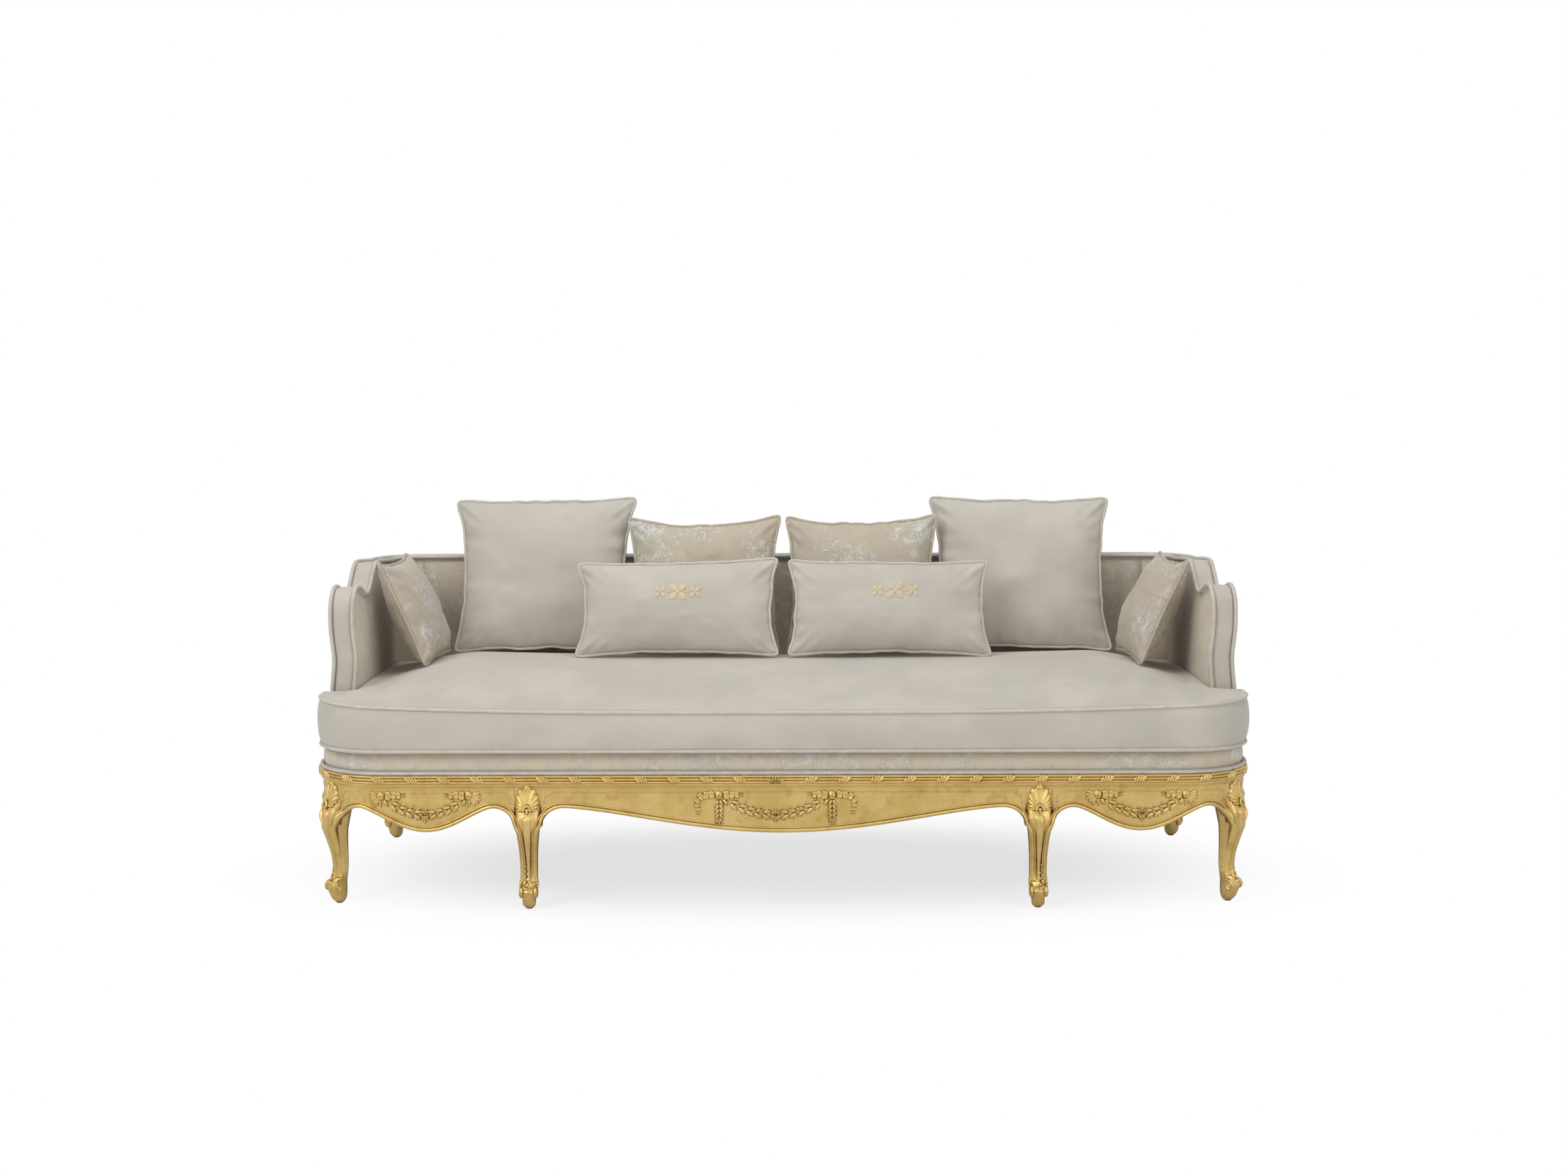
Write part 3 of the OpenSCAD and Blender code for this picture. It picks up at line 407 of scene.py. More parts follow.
def gilt_finish():
    """Gold leaf over gesso: burnished and rubbed patches, fine dark specks, and umber in the hollows, laid
    there by ambient occlusion: partly the gilding's own antique umber and partly painted shade.
    """
    f = Finish("gold_leaf", {"Roughness": 0.36, "Metallic": 0.82})
    pale = Vector((0.66, 0.475, 0.185))
    warm = Vector((0.40, 0.245, 0.062))
    tone = f.mix(f.between(f.grain(11, 6, 0.7), 0.30, 0.72), Vector(colours().gold), pale)
    tone = f.mix(f.between(f.grain(38, 3, 0.55), 0.52, 0.78, 0.0, 0.55), tone, warm)
    # Ambient occlusion darkens the hollows with umber: painted shade on top of the gilding's own antique
    # umber
    hollow = f.add("AmbientOcclusion", {"Distance": 0.007}, samples=8).outputs["AO"]
    near = f.between(hollow, 0.20, 0.84, 0.95, 0.0)
    specks = f.between(f.grain(420, 3, 0.6), 0.64, 0.74, 0.0, 0.35)
    patchy = f.between(f.grain(55, 3, 0.6), 0.2, 0.75, 0.62, 1.0)
    # Real dark specks, and the umber of the hollows with its painted shade
    specks_and_hollow_shade = f.sum("MAXIMUM", f.sum("MULTIPLY", near, patchy), specks)
    tone = f.mix(specks_and_hollow_shade, tone, Vector(colours().wash_and_shade))
    polish = f.between(f.grain(60, 4, 0.6), 0.3, 0.75, 0.28, 0.46)
    rough = f.sum("ADD", polish, f.between(specks_and_hollow_shade, 0.0, 1.0, 0.0, 0.3, "LINEAR"))
    gesso = f.bump(f.grain(130, 5, 0.6), 0.0009)
    return f.settle(tone, f.bump(f.grain(700, 2, 0.5), 0.0001, gesso), rough)


def velvet_finish():
    """Pale velvet: a short pile that lights up at the edge of a form, with patches where its pile lies
    another way.
    """
    f = Finish("pale_velvet", {"Roughness": 0.82, "Sheen Weight": 0.35, "Sheen Roughness": 0.35,
                               "Sheen Tint": (0.95, 0.93, 0.90), "Specular IOR Level": 0.2})
    base = Vector(colours().velvet)
    tone_lift = f.between(f.grain(5, 3, 0.55, f.stretch(1.0, 1.0, 1.6)), 0.35, 0.68)
    tone = f.mix(tone_lift, base * 0.93, base * 1.05)
    tone = f.mix(f.between(f.grain(260, 3, 0.7), 0.35, 0.75, 0.0, 0.22), tone, base * 0.88)
    pile = f.bump(f.grain(1400, 2, 0.6), 0.00012, f.bump(f.weave(0.0011), 0.00008))
    return f.settle(tone, f.bump(f.grain(28, 2, 0.5), 0.0006, pile))


def toile_finish(name="patterned_velvet", tone_lift=0.93):
    """Cut velvet toile: scribbled sprays in cream and silvery blue, scattered over a beige ground."""
    f = Finish(name, {"Roughness": 0.74, "Sheen Weight": 0.25, "Sheen Roughness": 0.4,
                      "Specular IOR Level": 0.3})
    # The ground is scaled for each copy of the cloth, as painted light: by 0.93 on the lit pillows, and by
    # 1.20 on the deck and the inside covers, which lie in shade
    ground = Vector(colours().toile_ground) * tone_lift
    swirl = f.offset("SUBTRACT", f.noise(20, 2).outputs["Color"], (0.5, 0.5, 0.5))
    at = f.offset("ADD", f.where, f.offset("MULTIPLY", swirl, (0.05, 0.05, 0.05)))
    sprays = f.between(f.grain(8.5, 3, 0.62, at), 0.455, 0.56)
    blots = f.between(f.grain(46, 4, 0.66, at), 0.53, 0.59)
    line = f.sum("ABSOLUTE", f.sum("SUBTRACT", f.grain(95, 3, 0.6, at), 0.5), 0.0)
    scribble = f.between(line, 0.012, 0.042, 1.0, 0.0)
    yarn = f.sum("MULTIPLY", sprays, f.sum("MAXIMUM", f.sum("MULTIPLY", blots, 0.6), scribble))
    loose = f.between(f.grain(17, 3, 0.6, at), 0.58, 0.66)
    yarn = f.sum("MAXIMUM", yarn, f.sum("MULTIPLY", loose, scribble))
    hue = f.between(f.grain(11, 2, 0.5), 0.48, 0.64)
    thread = f.mix(hue, Vector(colours().toile_cream), Vector(colours().toile_blue))
    shade = f.mix(f.between(f.grain(30, 4, 0.6, at), 0.4, 0.7), ground, ground * 0.92)
    tone = f.mix(f.sum("MULTIPLY", yarn, 0.85), shade, thread)
    return f.settle(tone, f.bump(yarn, 0.0007, f.bump(f.weave(0.0011), 0.00008)))


def shade_lifted_toile_finish():
    """The same cloth stretched over the frame, its ground painted lighter where the deck and the inside of
    the arms and back lie in shade.
    """
    return toile_finish("patterned_velvet_shade_lifted", 1.20)


def cord_finish():
    """Velvet piping: bias-cut strip over a cord, with fine slanting threads."""
    f = Finish("velvet_piping", {"Roughness": 0.8, "Sheen Weight": 0.3, "Sheen Roughness": 0.4})
    base = Vector(colours().velvet)
    tone = f.mix(f.between(f.grain(40, 3, 0.6), 0.3, 0.7), base * 0.94, base * 1.08)
    return f.settle(tone, f.bump(f.bands(120.0, "DIAGONAL", Distortion=0.5), 0.00012))


def thread_finish():
    """Satin-stitched gold thread."""
    f = Finish("gold_thread", {"Roughness": 0.45, "Sheen Weight": 0.4})
    base = Vector(colours().thread)
    lay = f.bands(420.0, "DIAGONAL", Distortion=0.3)
    return f.settle(f.mix(f.sum("MULTIPLY", lay, 0.5), base, base * 1.25), f.bump(lay, 0.0003))


def beech_finish():
    """Bare planed beech with its fleck."""
    f = Finish("bare_beech", {"Roughness": 0.6})
    base = Vector(colours().beech)
    rings = f.between(f.grain(3, 5, 0.6, f.stretch(3.0, 30.0, 30.0)), 0.35, 0.65)
    fleck = f.between(f.grain(60, 2, 0.5, f.stretch(1.0, 8.0, 8.0)), 0.62, 0.7, 0.0, 0.5)
    tone = f.mix(fleck, f.mix(rings, base, base * 0.74), base * 0.55)
    return f.settle(tone, f.bump(rings, 0.0002))


def jute_finish():
    """Woven jute webbing."""
    f = Finish("jute_webbing", {"Roughness": 0.9})
    base = Vector((0.42, 0.29, 0.14))
    threads = f.weave(0.0035)
    return f.settle(f.mix(f.between(threads, 0.9, 2.1), base * 0.6, base * 1.2), f.bump(threads, 0.0008))


def cambric_finish():
    """Thin black dust cloth."""
    f = Finish("black_cambric", {"Roughness": 0.95})
    base = Vector((0.022, 0.022, 0.025))
    tone = f.mix(f.between(f.grain(300, 2, 0.6), 0.4, 0.7), base, base * 2.2)
    return f.settle(tone, f.bump(f.weave(0.0016), 0.0002))


# The two copies of the toile differ only in painted light: the lighter one goes where the cloth lies in shade
FINISHES = {"gilt": gilt_finish, "velvet": velvet_finish, "toile": toile_finish,
            "shade_lifted_toile": shade_lifted_toile_finish, "cord": cord_finish, "thread": thread_finish,
            "beech": beech_finish, "jute": jute_finish, "cambric": cambric_finish}
FINISH_SLOT = {name: name for name in FINISHES}
FINISH_SLOT["thread"] = "velvet"
FINISH_SLOT["shade_lifted_toile"] = "toile"
made_finishes = {}


def finish_of(name):
    if name not in made_finishes:
        made_finishes[name] = FINISHES[name]()
    return made_finishes[name]


# Places on the frame

def face_at(s):
    """Point and outward direction on the rail faces, at a distance round the plan from the middle front."""
    side = 1.0 if s >= 0 else -1.0
    s = abs(s)
    if s <= FRONT_FLAT:
        x, y, nx, ny = s, 0.0, 0.0, -1.0
    elif s <= CORNER_END:
        a = (s - FRONT_FLAT) / FRONT_R
        nx, ny = math.sin(a), -math.cos(a)
        x, y = FRONT_FLAT + FRONT_R * nx, FRONT_R + FRONT_R * ny
    elif s <= SIDE_END:
        x, y, nx, ny = HALF_W, FRONT_R + s - CORNER_END, 1.0, 0.0
    elif s <= REAR_END:
        a = (s - SIDE_END) / REAR_R
        nx, ny = math.cos(a), math.sin(a)
        x, y = REAR_FLAT + REAR_R * nx, REAR_Y + REAR_R * ny
    else:
        x, y, nx, ny = REAR_FLAT - (s - REAR_END), DEPTH, 0.0, 1.0
    return side * x, y + FRONT_Y, side * nx, ny


def on_rail(s, z, rise):
    x, y, nx, ny = face_at(s)
    return x + nx * rise, y + ny * rise, z


def turned(place, s0, z0, angle, mirror=1.0):
    """Places a carving by its root: angle is anticlockwise from straight up, in degrees."""
    c, d = math.cos(math.radians(angle)), math.sin(math.radians(angle))
    return lambda x, u, h: place(s0 + mirror * (x * c - u * d), z0 + x * d + u * c, h)


# Carved shapes, as grids of (across, up, rise) from their root

# How deep a carving's rim lies below the surface, and half the width that a leaf keeps at its ends
SINK = 0.0016
TIP = 0.0004


def leaf(length, width, rise, rows=8, cols=7, rib=0.3, blunt=0.75, curl=0.0, lift=0.0, point=0.0):
    """A laurel leaf with a groove down its middle."""
    grid = []
    for j in range(rows):
        t = j / (rows - 1)
        half = TIP
        if 0 < t < 1:
            half = width / 2 * math.sin(math.pi * min(1.0, t ** blunt)) ** 0.8 * (1.3 * (1 - t)) ** point
        row = []
        for i in range(cols):
            v = 2 * i / (cols - 1) - 1
            top = (1 - abs(v) ** 2.2) * math.sin(math.pi * (0.12 + 0.8 * t)) ** 0.6
            groove = rib * math.exp(-(v / 0.28) ** 2) * math.sin(math.pi * t) ** 0.5
            edge = abs(v) > 0.999 or j in (0, rows - 1)
            h = -SINK if edge else rise * (top - groove) + lift * t
            row.append((v * half + curl * length * t * t, t * length, h))
        grid.append(row)
    return grid


def puff(width, height, rise, n=9):
    """A fold of gathered ribbon: a flat loop with a hollow middle."""
    grid = []
    for j in range(n):
        q = math.sin(math.pi / 2 * (2 * j / (n - 1) - 1))
        row = []
        for i in range(n):
            v = math.sin(math.pi / 2 * (2 * i / (n - 1) - 1))
            dip = 0.72 * max(0.0, 1 - (v * v + 0.6 * q * q) / 0.55)
            h = rise * max(0.0, (1 - v ** 6) * (1 - q ** 6)) ** 0.6 * (1 - dip)
            edge = i in (0, n - 1) or j in (0, n - 1)
            row.append((v * width / 2 * (1 - 0.25 * q * q), q * height / 2, -SINK if edge else h))
        grid.append(row)
    return grid


def dome(form, radius, rise, place, swirl=0.0, sides=20, rings=9):
    """A round boss; swirl gives it the turns of a knot."""
    rows = []
    for j in range(rings):
        t = 1 - j / rings
        row = []
        for k in range(sides):
            a = 2 * math.pi * k / sides
            turn = 0.5 + 0.5 * math.cos(2 * a - 7.5 * t)
            h = rise * (1 - t ** 3) * (1 - swirl * turn) if j else -SINK
            row.append(place(radius * t * math.cos(a), radius * t * math.sin(a), h))
        rows.append(row)
    form.shut(rows)


# The carved frame

LEG_H = RAIL_TOP - MOULDING_H
# From the floor up: share of the height, then in widths of the post how far the middle stands out of the rail
# face, half the depth and half the width, then how square the section is
LEG_ROWS = np.array([
    [0.000, -0.19, 0.100, 0.105, 2.2],
    [0.008, -0.20, 0.160, 0.160, 2.3],
    [0.025, -0.205, 0.210, 0.210, 2.5],
    [0.055, -0.20, 0.262, 0.240, 2.6],
    [0.100, -0.165, 0.325, 0.255, 2.5],
    [0.150, -0.125, 0.368, 0.268, 2.3],
    [0.185, -0.160, 0.325, 0.285, 2.2],
    [0.215, -0.220, 0.275, 0.305, 2.3],
    [0.255, -0.272, 0.248, 0.315, 2.4],
    [0.318, -0.305, 0.240, 0.312, 2.5],
    [0.418, -0.272, 0.276, 0.318, 2.6],
    [0.518, -0.198, 0.345, 0.342, 2.8],
    [0.635, -0.105, 0.440, 0.395, 3.0],
    [0.752, -0.136, 0.515, 0.480, 3.0],
    [0.850, -0.260, 0.455, 0.490, 3.2],
    [0.920, -0.390, 0.440, 0.480, 3.5],
    [0.960, -0.440, 0.430, 0.470, 4.0],
    [0.993, -0.480, 0.430, 0.470, 4.0]])


def leg_table():
    """Height, way out of the rail face, half depth, half width and squareness of the leg, at close steps."""
    at = np.concatenate((np.linspace(0, 0.06, 14)[:-1], np.linspace(0.06, 0.993, 140)))
    table = np.stack([at] + [np.interp(at, LEG_ROWS[:, 0], LEG_ROWS[:, k]) for k in range(1, 5)], axis=1)
    for _ in range(10):
        table[1:-1, 1:] = (table[:-2, 1:] + 2 * table[1:-1, 1:] + table[2:, 1:]) / 4
    table[:, 0] *= LEG_H
    table[:, 1:4] *= POST_W
    return table


LEG = leg_table()


def leg_at(z):
    return [float(np.interp(z, LEG[:, 0], LEG[:, k])) for k in range(1, 5)]


def leg_front(x, z):
    """Distance of the leg's front behind the rail face, there."""
    out, deep, wide, square = leg_at(z)
    u = min(0.97, abs(x) / wide)
    return -out - deep * (1 - u ** square) ** (1 / square)


def edge_height(s, half, low):
    """Height of the apron's edge at a distance from a leg, for half a bay."""
    if s < EAR_W:
        return EAR_Z + (ARCH_Z - EAR_Z) * math.sqrt(max(0.0, 1 - (1 - s / EAR_W) ** 2))
    return ARCH_Z - (ARCH_Z - low) * math.sin(math.pi / 2 * (s - EAR_W) / (half - EAR_W)) ** 1.4


def apron_line(start, end, low, along):
    """Points (round the plan, height) on an apron's edge; along gives the distance round the plan."""
    half = (end - start) / 2
    line = []
    for k in range(121):
        u = (1 - math.cos(math.pi * k / 120)) / 2
        v = start + (end - start) * u
        line.append((along(v), edge_height(min(v - start, end - v), half, low)))
    return line


def face_drop(x, radius):
    """How far a rounded rail face falls back from the middle of a leg that stands on it."""
    return radius - math.sqrt(radius * radius - x * x) if radius else 0.0


# Middles of the legs as distances round the rail faces, and the radius of the face that each stands on
LEG_STANDS = ((INNER_X, 0.0), (FRONT_FLAT + FRONT_R * FRONT_TURN, FRONT_R),
              (SIDE_END + REAR_R * (REAR_TURN - math.pi / 2), REAR_R))


def leg_bulge(s, z):
    """How far the nearest leg stands out of the rail face at a place on it."""
    for centre, radius in LEG_STANDS:
        x = abs(abs(s) - centre)
        if x < 0.060:
            x = radius * math.sin(x / radius) if radius else x
            wide = leg_at(z)[2]
            kept = min(x, 0.86 * wide)
            bulge = face_drop(x, radius) - leg_front(kept, z)
            below = 1 - float(smoothstep(0.190, 0.232, z))
            bulge = bulge if bulge > 0 else bulge * below
            return bulge * (1 - (1 - below) * float(smoothstep(wide + 0.001, wide + 0.016, x)))
    return 0.0


def mould_along(form, line, section):
    """Runs a moulding's section along an edge line on the rail faces and the legs."""
    pts = np.array(line)
    tangent = np.gradient(pts, axis=0)
    tangent /= np.linalg.norm(tangent, axis=1)[:, None]
    normal = np.stack((-tangent[:, 1], tangent[:, 0]), axis=1)
    if normal[len(normal) // 2][1] < 0:
        normal = -normal
    rows = []
    for k, (p, n) in enumerate(zip(pts, normal)):
        ends = min(1.0, min(k, len(pts) - 1 - k) / 5)
        row = []
        for up, rise in section:
            a, z = p[0] + n[0] * up, p[1] + n[1] * up
            shallow = ends * (0.70 + 0.30 * float(smoothstep(0.180, 0.225, z)))
            row.append(on_rail(a, z, leg_bulge(a, z) + (rise * shallow if rise > 0 else rise)))
        rows.append(row)
    form.shut(rows)


def edge_with_legs(line, start, end):
    """An apron's edge line carried on down the facing edges of the legs it runs between, at their middles."""
    def down(centre, way):
        return [(centre + way * 0.965 * leg_at(z)[2], z) for z in np.linspace(0.196, 0.066, 27)]
    return smooth_line(down(start, 1)[::-1] + line[2:-2] + down(end, -1), 0.0045)


# Sections of the mouldings, as (up from the edge, rise)
BEAD = [(-0.0006, -0.012), (-0.0008, 0.0015), (0.0004, 0.0032), (0.0022, 0.0050), (0.0042, 0.0056),
        (0.0062, 0.0050), (0.0078, 0.0028), (0.0086, 0.0004), (0.0094, 0.0002), (0.0101, 0.0020),
        (0.0112, 0.0028), (0.0123, 0.0023), (0.0130, 0.0002), (0.0134, -0.012)]
FILLET = [(-0.0016, -0.006), (-0.0015, 0.0004), (-0.0008, 0.0014), (0.0, 0.0018), (0.0008, 0.0014),
          (0.0015, 0.0004), (0.0016, -0.006)]


def front_span(x):
    """Distance round the plan of the point of the rail face with this x, on the front and its corner."""
    if abs(x) <= FRONT_FLAT:
        return x
    return math.copysign(FRONT_FLAT + FRONT_R * math.asin(min(1.0, (abs(x) - FRONT_FLAT) / FRONT_R)), x)


def side_span(y):
    """Distance round the plan of the point of the right-hand rail face at this depth."""
    if y < FRONT_R:
        return CORNER_END - FRONT_R * math.asin((FRONT_R - y) / FRONT_R)
    if y <= REAR_Y:
        return CORNER_END + y - FRONT_R
    return SIDE_END + REAR_R * math.asin(min(1.0, (y - REAR_Y) / REAR_R))


# Ends of the bays' aprons in x, and of the side aprons in depth, at the faces of the posts
POST_FLAT = 0.002
HALF_POST = POST_W / 2
BAY_END = FRONT_FLAT + FRONT_R * math.sin(FRONT_TURN - math.asin(HALF_POST / FRONT_R)) - POST_FLAT
SIDE_FROM = FRONT_R - FRONT_R * math.cos(FRONT_TURN + math.asin(HALF_POST / FRONT_R)) + POST_FLAT
SIDE_TO = REAR_Y - REAR_R * math.cos(REAR_TURN - math.asin(HALF_POST / REAR_R)) - POST_FLAT
MIDDLE_LOW = 0.1915
BAY_LOW = 0.1945
PANEL_REACH = HALF_POST + 0.010


def panel_line(start, end):
    """A thin fillet under the ogee that turns down at both ends of a bay."""
    low, high, turn = 0.264, 0.2915, 0.016
    corner = [(turn - turn * math.cos(a), high - turn + turn * math.sin(a))
              for a in np.linspace(0, math.pi / 2, 9)]
    up = np.linspace(low, high - turn, 5)[:-1]
    left = [(start, z) for z in up] + [(start + x, z) for x, z in corner]
    right = [(end - x, z) for x, z in corner[::-1]] + [(end, z) for z in up[::-1]]
    flat = [(x, high) for x in np.linspace(start + turn, end - turn, 60)[1:-1]]
    return smooth_line(left + flat + right, 0.004)


def make_apron_beads():
    inner, corner, rear = (centre for centre, _ in LEG_STANDS)
    middle = (apron_line(HALF_POST - INNER_X, INNER_X - HALF_POST, MIDDLE_LOW, front_span), -inner, inner)
    bay = (apron_line(INNER_X + HALF_POST, BAY_END, BAY_LOW, front_span), inner, corner)
    side = (apron_line(SIDE_FROM, SIDE_TO, BAY_LOW, side_span), corner, rear)
    for name, bays, mirror in (("apron_beads_right", (bay, side), False),
                               ("apron_beads_left", (bay, side), True),
                               ("apron_bead_middle", (middle,), False)):
        form = Form()
        for edge, start, end in bays:
            mould_along(form, edge_with_legs(edge, start, end), BEAD)
        for _, start, end in bays:
            mould_along(form, panel_line(start + PANEL_REACH, end - PANEL_REACH), FILLET)
        finished(name, form.mesh(name, mirror), "gilt", ROOT)


# How far the reeds stand out of the rail face, the foot of the wraps over them, the place of the middle wrap
# and garland, and the way from there to the next wrap
REED_RISE = 0.0082
WRAP_FOOT = RAIL_TOP - 0.0215
MIDDLE_X = -0.019
FIRST_WRAP = 0.086


def wrap(form, s, way):
    """Leaf wrap over the reeds: overlapping strands that lean one way, or a fan where way is 0."""
    place = lambda x, z, h: on_rail(x, z, REED_RISE + h)
    if way == 0:
        for k in (-4, 4, -3, 3, -2, 2, -1, 1, 0):
            grid = leaf(0.0225 - 0.0004 * abs(k), 0.0064, 0.0046 - 0.0002 * abs(k), rib=0.0, blunt=1.5)
            form.relief(grid, turned(place, s + 0.0022 * k, WRAP_FOOT - 0.001, -16.5 * k))
        return
    for k, reach in enumerate((0.0190, 0.0245, 0.0270, 0.0255, 0.0200)):
        grid = leaf(reach, 0.0092, 0.0034 + 0.0003 * k, rows=9, rib=0.12, blunt=1.05, curl=0.22)
        foot = WRAP_FOOT - 0.0005 + (0.004 if k == 4 else 0.0)
        form.relief(grid, turned(place, s + way * (0.0145 - 0.0054 * k), foot, 34 + 3 * k, way))


def make_wraps():
    form = Form()
    wrap(form, MIDDLE_X, 0)
    for side in (-1, 1):
        s = MIDDLE_X + side * FIRST_WRAP
        while abs(s) < REAR_END + REAR_FLAT - 0.03:
            wrap(form, s, -side)
            s += side * sizes().wrap_pitch
    finished("moulding_wraps", form.mesh("moulding_wraps"), "gilt", ROOT)


def leg_carving(x, z, wide, front):
    """Rise of the hollow, tongue and toe cut in the leg itself, by its place across the front."""
    u = abs(x) / wide
    low = float(smoothstep(0.056, 0.080, z) * (1 - smoothstep(0.222, 0.250, z)))
    if not front:
        return 0.0012 * low * float(bump_at(u, 0.93, 0.06)) - 0.0010 * low * float(bump_at(u, 0.45, 0.45))
    rise = -0.0020 * low * float(1 - smoothstep(0.55, 0.80, u))
    half = np.interp(z, (0.060, 0.094, 0.138, 0.181, 0.229), (0.0034, 0.0045, 0.0066, 0.0088, 0.0108))
    tongue = smoothstep(0.0, 0.0022, half - abs(x))
    tongue *= smoothstep(0.058, 0.075, z) * (1 - smoothstep(0.228, 0.238, z))
    rise += tongue * (0.0044 + 0.0016 * (1 - min(1.0, abs(x) / half) ** 2))
    toe = smoothstep(0.0, 0.004, 0.0160 - abs(x))
    toe *= (1 - smoothstep(0.046, 0.056, z)) * smoothstep(0.002, 0.014, z)
    return float(rise + 0.0036 * toe)


# Shell on the knee: edges of its lobes in degrees, height of its hood, and rings as shares of its reach
SHELL_LOBES = (-102, -86, -69, -52, -34, -15, 15, 34, 52, 69, 86, 102)
SHELL_Z = 0.2525
SHELL_RINGS = (0.0, 0.12, 0.25, 0.38, 0.50, 0.62, 0.73, 0.82, 0.89, 0.94, 0.975, 1.0)


def shell_point(a, lobe, tall, t):
    """Place and rise on the shell; lobe goes from 0 to 1 and back across each of its lobes."""
    reach = np.interp(abs(a), (0, 26, 45, 70, 102), (0.0590, 0.0510, 0.0440, 0.0345, 0.0250))
    r = 0.003 + (reach * (0.87 + 0.13 * lobe ** 0.6) - 0.003) * t
    body = 0.0042 + 0.0040 * math.sin(math.pi * (0.08 + 0.80 * t)) + 0.0022 * tall * t
    flute = 0.0032 * (lobe ** 0.7 - 0.55) * min(1.0, 1.4 * t)
    curled = 0.0018 * math.exp(-((t - 0.88) / 0.08) ** 2) * lobe
    rib = 0.0010 * t * math.exp(-((lobe - 1.0) / 0.04) ** 2)
    across = r * math.sin(math.radians(a)) * (0.93 if a < 0 else 1.0)
    return across, SHELL_Z + r * math.cos(math.radians(a)), float(body + flute + curled - rib)


def shell_carving(form, place):
    """Scallop shell on the knee: eleven lobes about a hood, the middle one tall enough to lap the ogee."""
    around = [(a + (b - a) * i / 8, math.sin(math.pi * i / 8), 1.0 if k == 5 else 0.0)
              for k, (a, b) in enumerate(zip(SHELL_LOBES[:-1], SHELL_LOBES[1:])) for i in range(8)]
    around.append((SHELL_LOBES[-1], 0.0, 0.0))
    rows = []
    for j, t in enumerate(SHELL_RINGS):
        row = []
        for i, (a, lobe, tall) in enumerate(around):
            x, z, h = shell_point(a, lobe, tall, t)
            edge = i in (0, len(around) - 1) or j in (0, len(SHELL_RINGS) - 1)
            row.append((x, z, -SINK if edge else h))
        rows.append(row)
    form.relief(rows, place)
    hood = [place(0.0088 * math.cos(a), SHELL_Z - 0.004 + 0.0125 * math.sin(a), 0.0094)
            for a in np.linspace(-0.15, math.pi + 0.15, 17)]
    tube(form, hood, 0.0012 + 0.0024 * np.sin(np.linspace(0.2, math.pi - 0.2, 17)), 8)
    for a, size in ((-40, 0.85), (40, 0.85), (0, 1.1)):
        grid = leaf(0.0165 * size, 0.0086 * size, 0.0050, rib=0.15)
        form.relief(grid, lifted(turned(place, 0, SHELL_Z + 0.005, 180 + a), 0.0030))


def lifted(place, rise):
    return lambda x, u, h: place(x, u, h + rise)


# Scroll of the foot: its middle, its radius, and its rim as (depth, share of the radius)
VOLUTE_AT = (-0.0030, 0.0440)
VOLUTE_R = 0.0146
VOLUTE_RIM = ((0.0, 0.90), (0.0022, 0.98), (0.0042, 1.02), (0.0054, 0.96), (0.0066, 1.01), (0.0088, 1.0),
              (0.0103, 0.93))


def volute(form, side):
    """Scroll on one side of the foot, its spiral carved in relief and its rim grooved."""
    turns = np.linspace(0, 2 * math.pi, 40, endpoint=False)

    def spot(out, r, a):
        return side * out, VOLUTE_AT[0] + r * math.cos(a), VOLUTE_AT[1] + r * math.sin(a)

    rows = [[spot(0.0128 + 0.82 * depth, VOLUTE_R * share, a) for a in turns] for depth, share in VOLUTE_RIM]
    for j in range(1, 15):
        t = 1 - j / 14.5
        row = []
        for a in turns:
            turn = 0.5 + 0.5 * math.cos(2 * math.pi * (2.1 * t - a / (2 * math.pi)) + 1.2)
            out = 0.0208 + 0.0024 * (turn ** 1.5) * (1 - 0.3 * t) + 0.0010 * (1 - t)
            row.append(spot(out, VOLUTE_R * 0.90 * t, a))
        rows.append(row)
    form.shut(rows, flip=side < 0)


def sprig(form, place):
    """Acanthus sprig that climbs from the foot beside the tongue, and the knuckles at its root."""
    for k in range(9):
        t = k / 8
        small = 1 - 0.40 * t
        grid = leaf(0.0165 * small, 0.0100 * small, 0.0062 * (1 - 0.3 * t), rib=0.25, point=0.3)
        form.relief(grid, turned(place, 0.0068 - 0.0020 * t, 0.050 + 0.054 * t, 30 if k % 2 else -34))
    form.relief(leaf(0.018, 0.0058, 0.0040, rib=0.1), turned(place, 0.0060, 0.036, 4))
    for x, size in ((-0.0118, 0.9), (-0.0040, 1.0), (0.0045, 1.05), (0.0122, 0.9)):
        dome(form, 0.0050 * size, 0.0046, turned(place, x, 0.0530, 0), sides=12, rings=6)
    for side in (-1, 1):
        for k in range(3):
            root = turned(place, side * (0.0165 + 0.0006 * k), 0.052 + 0.0065 * k, -side * (38 - 9 * k))
            form.relief(leaf(0.0120, 0.0070, 0.0034, rib=0.2), root)


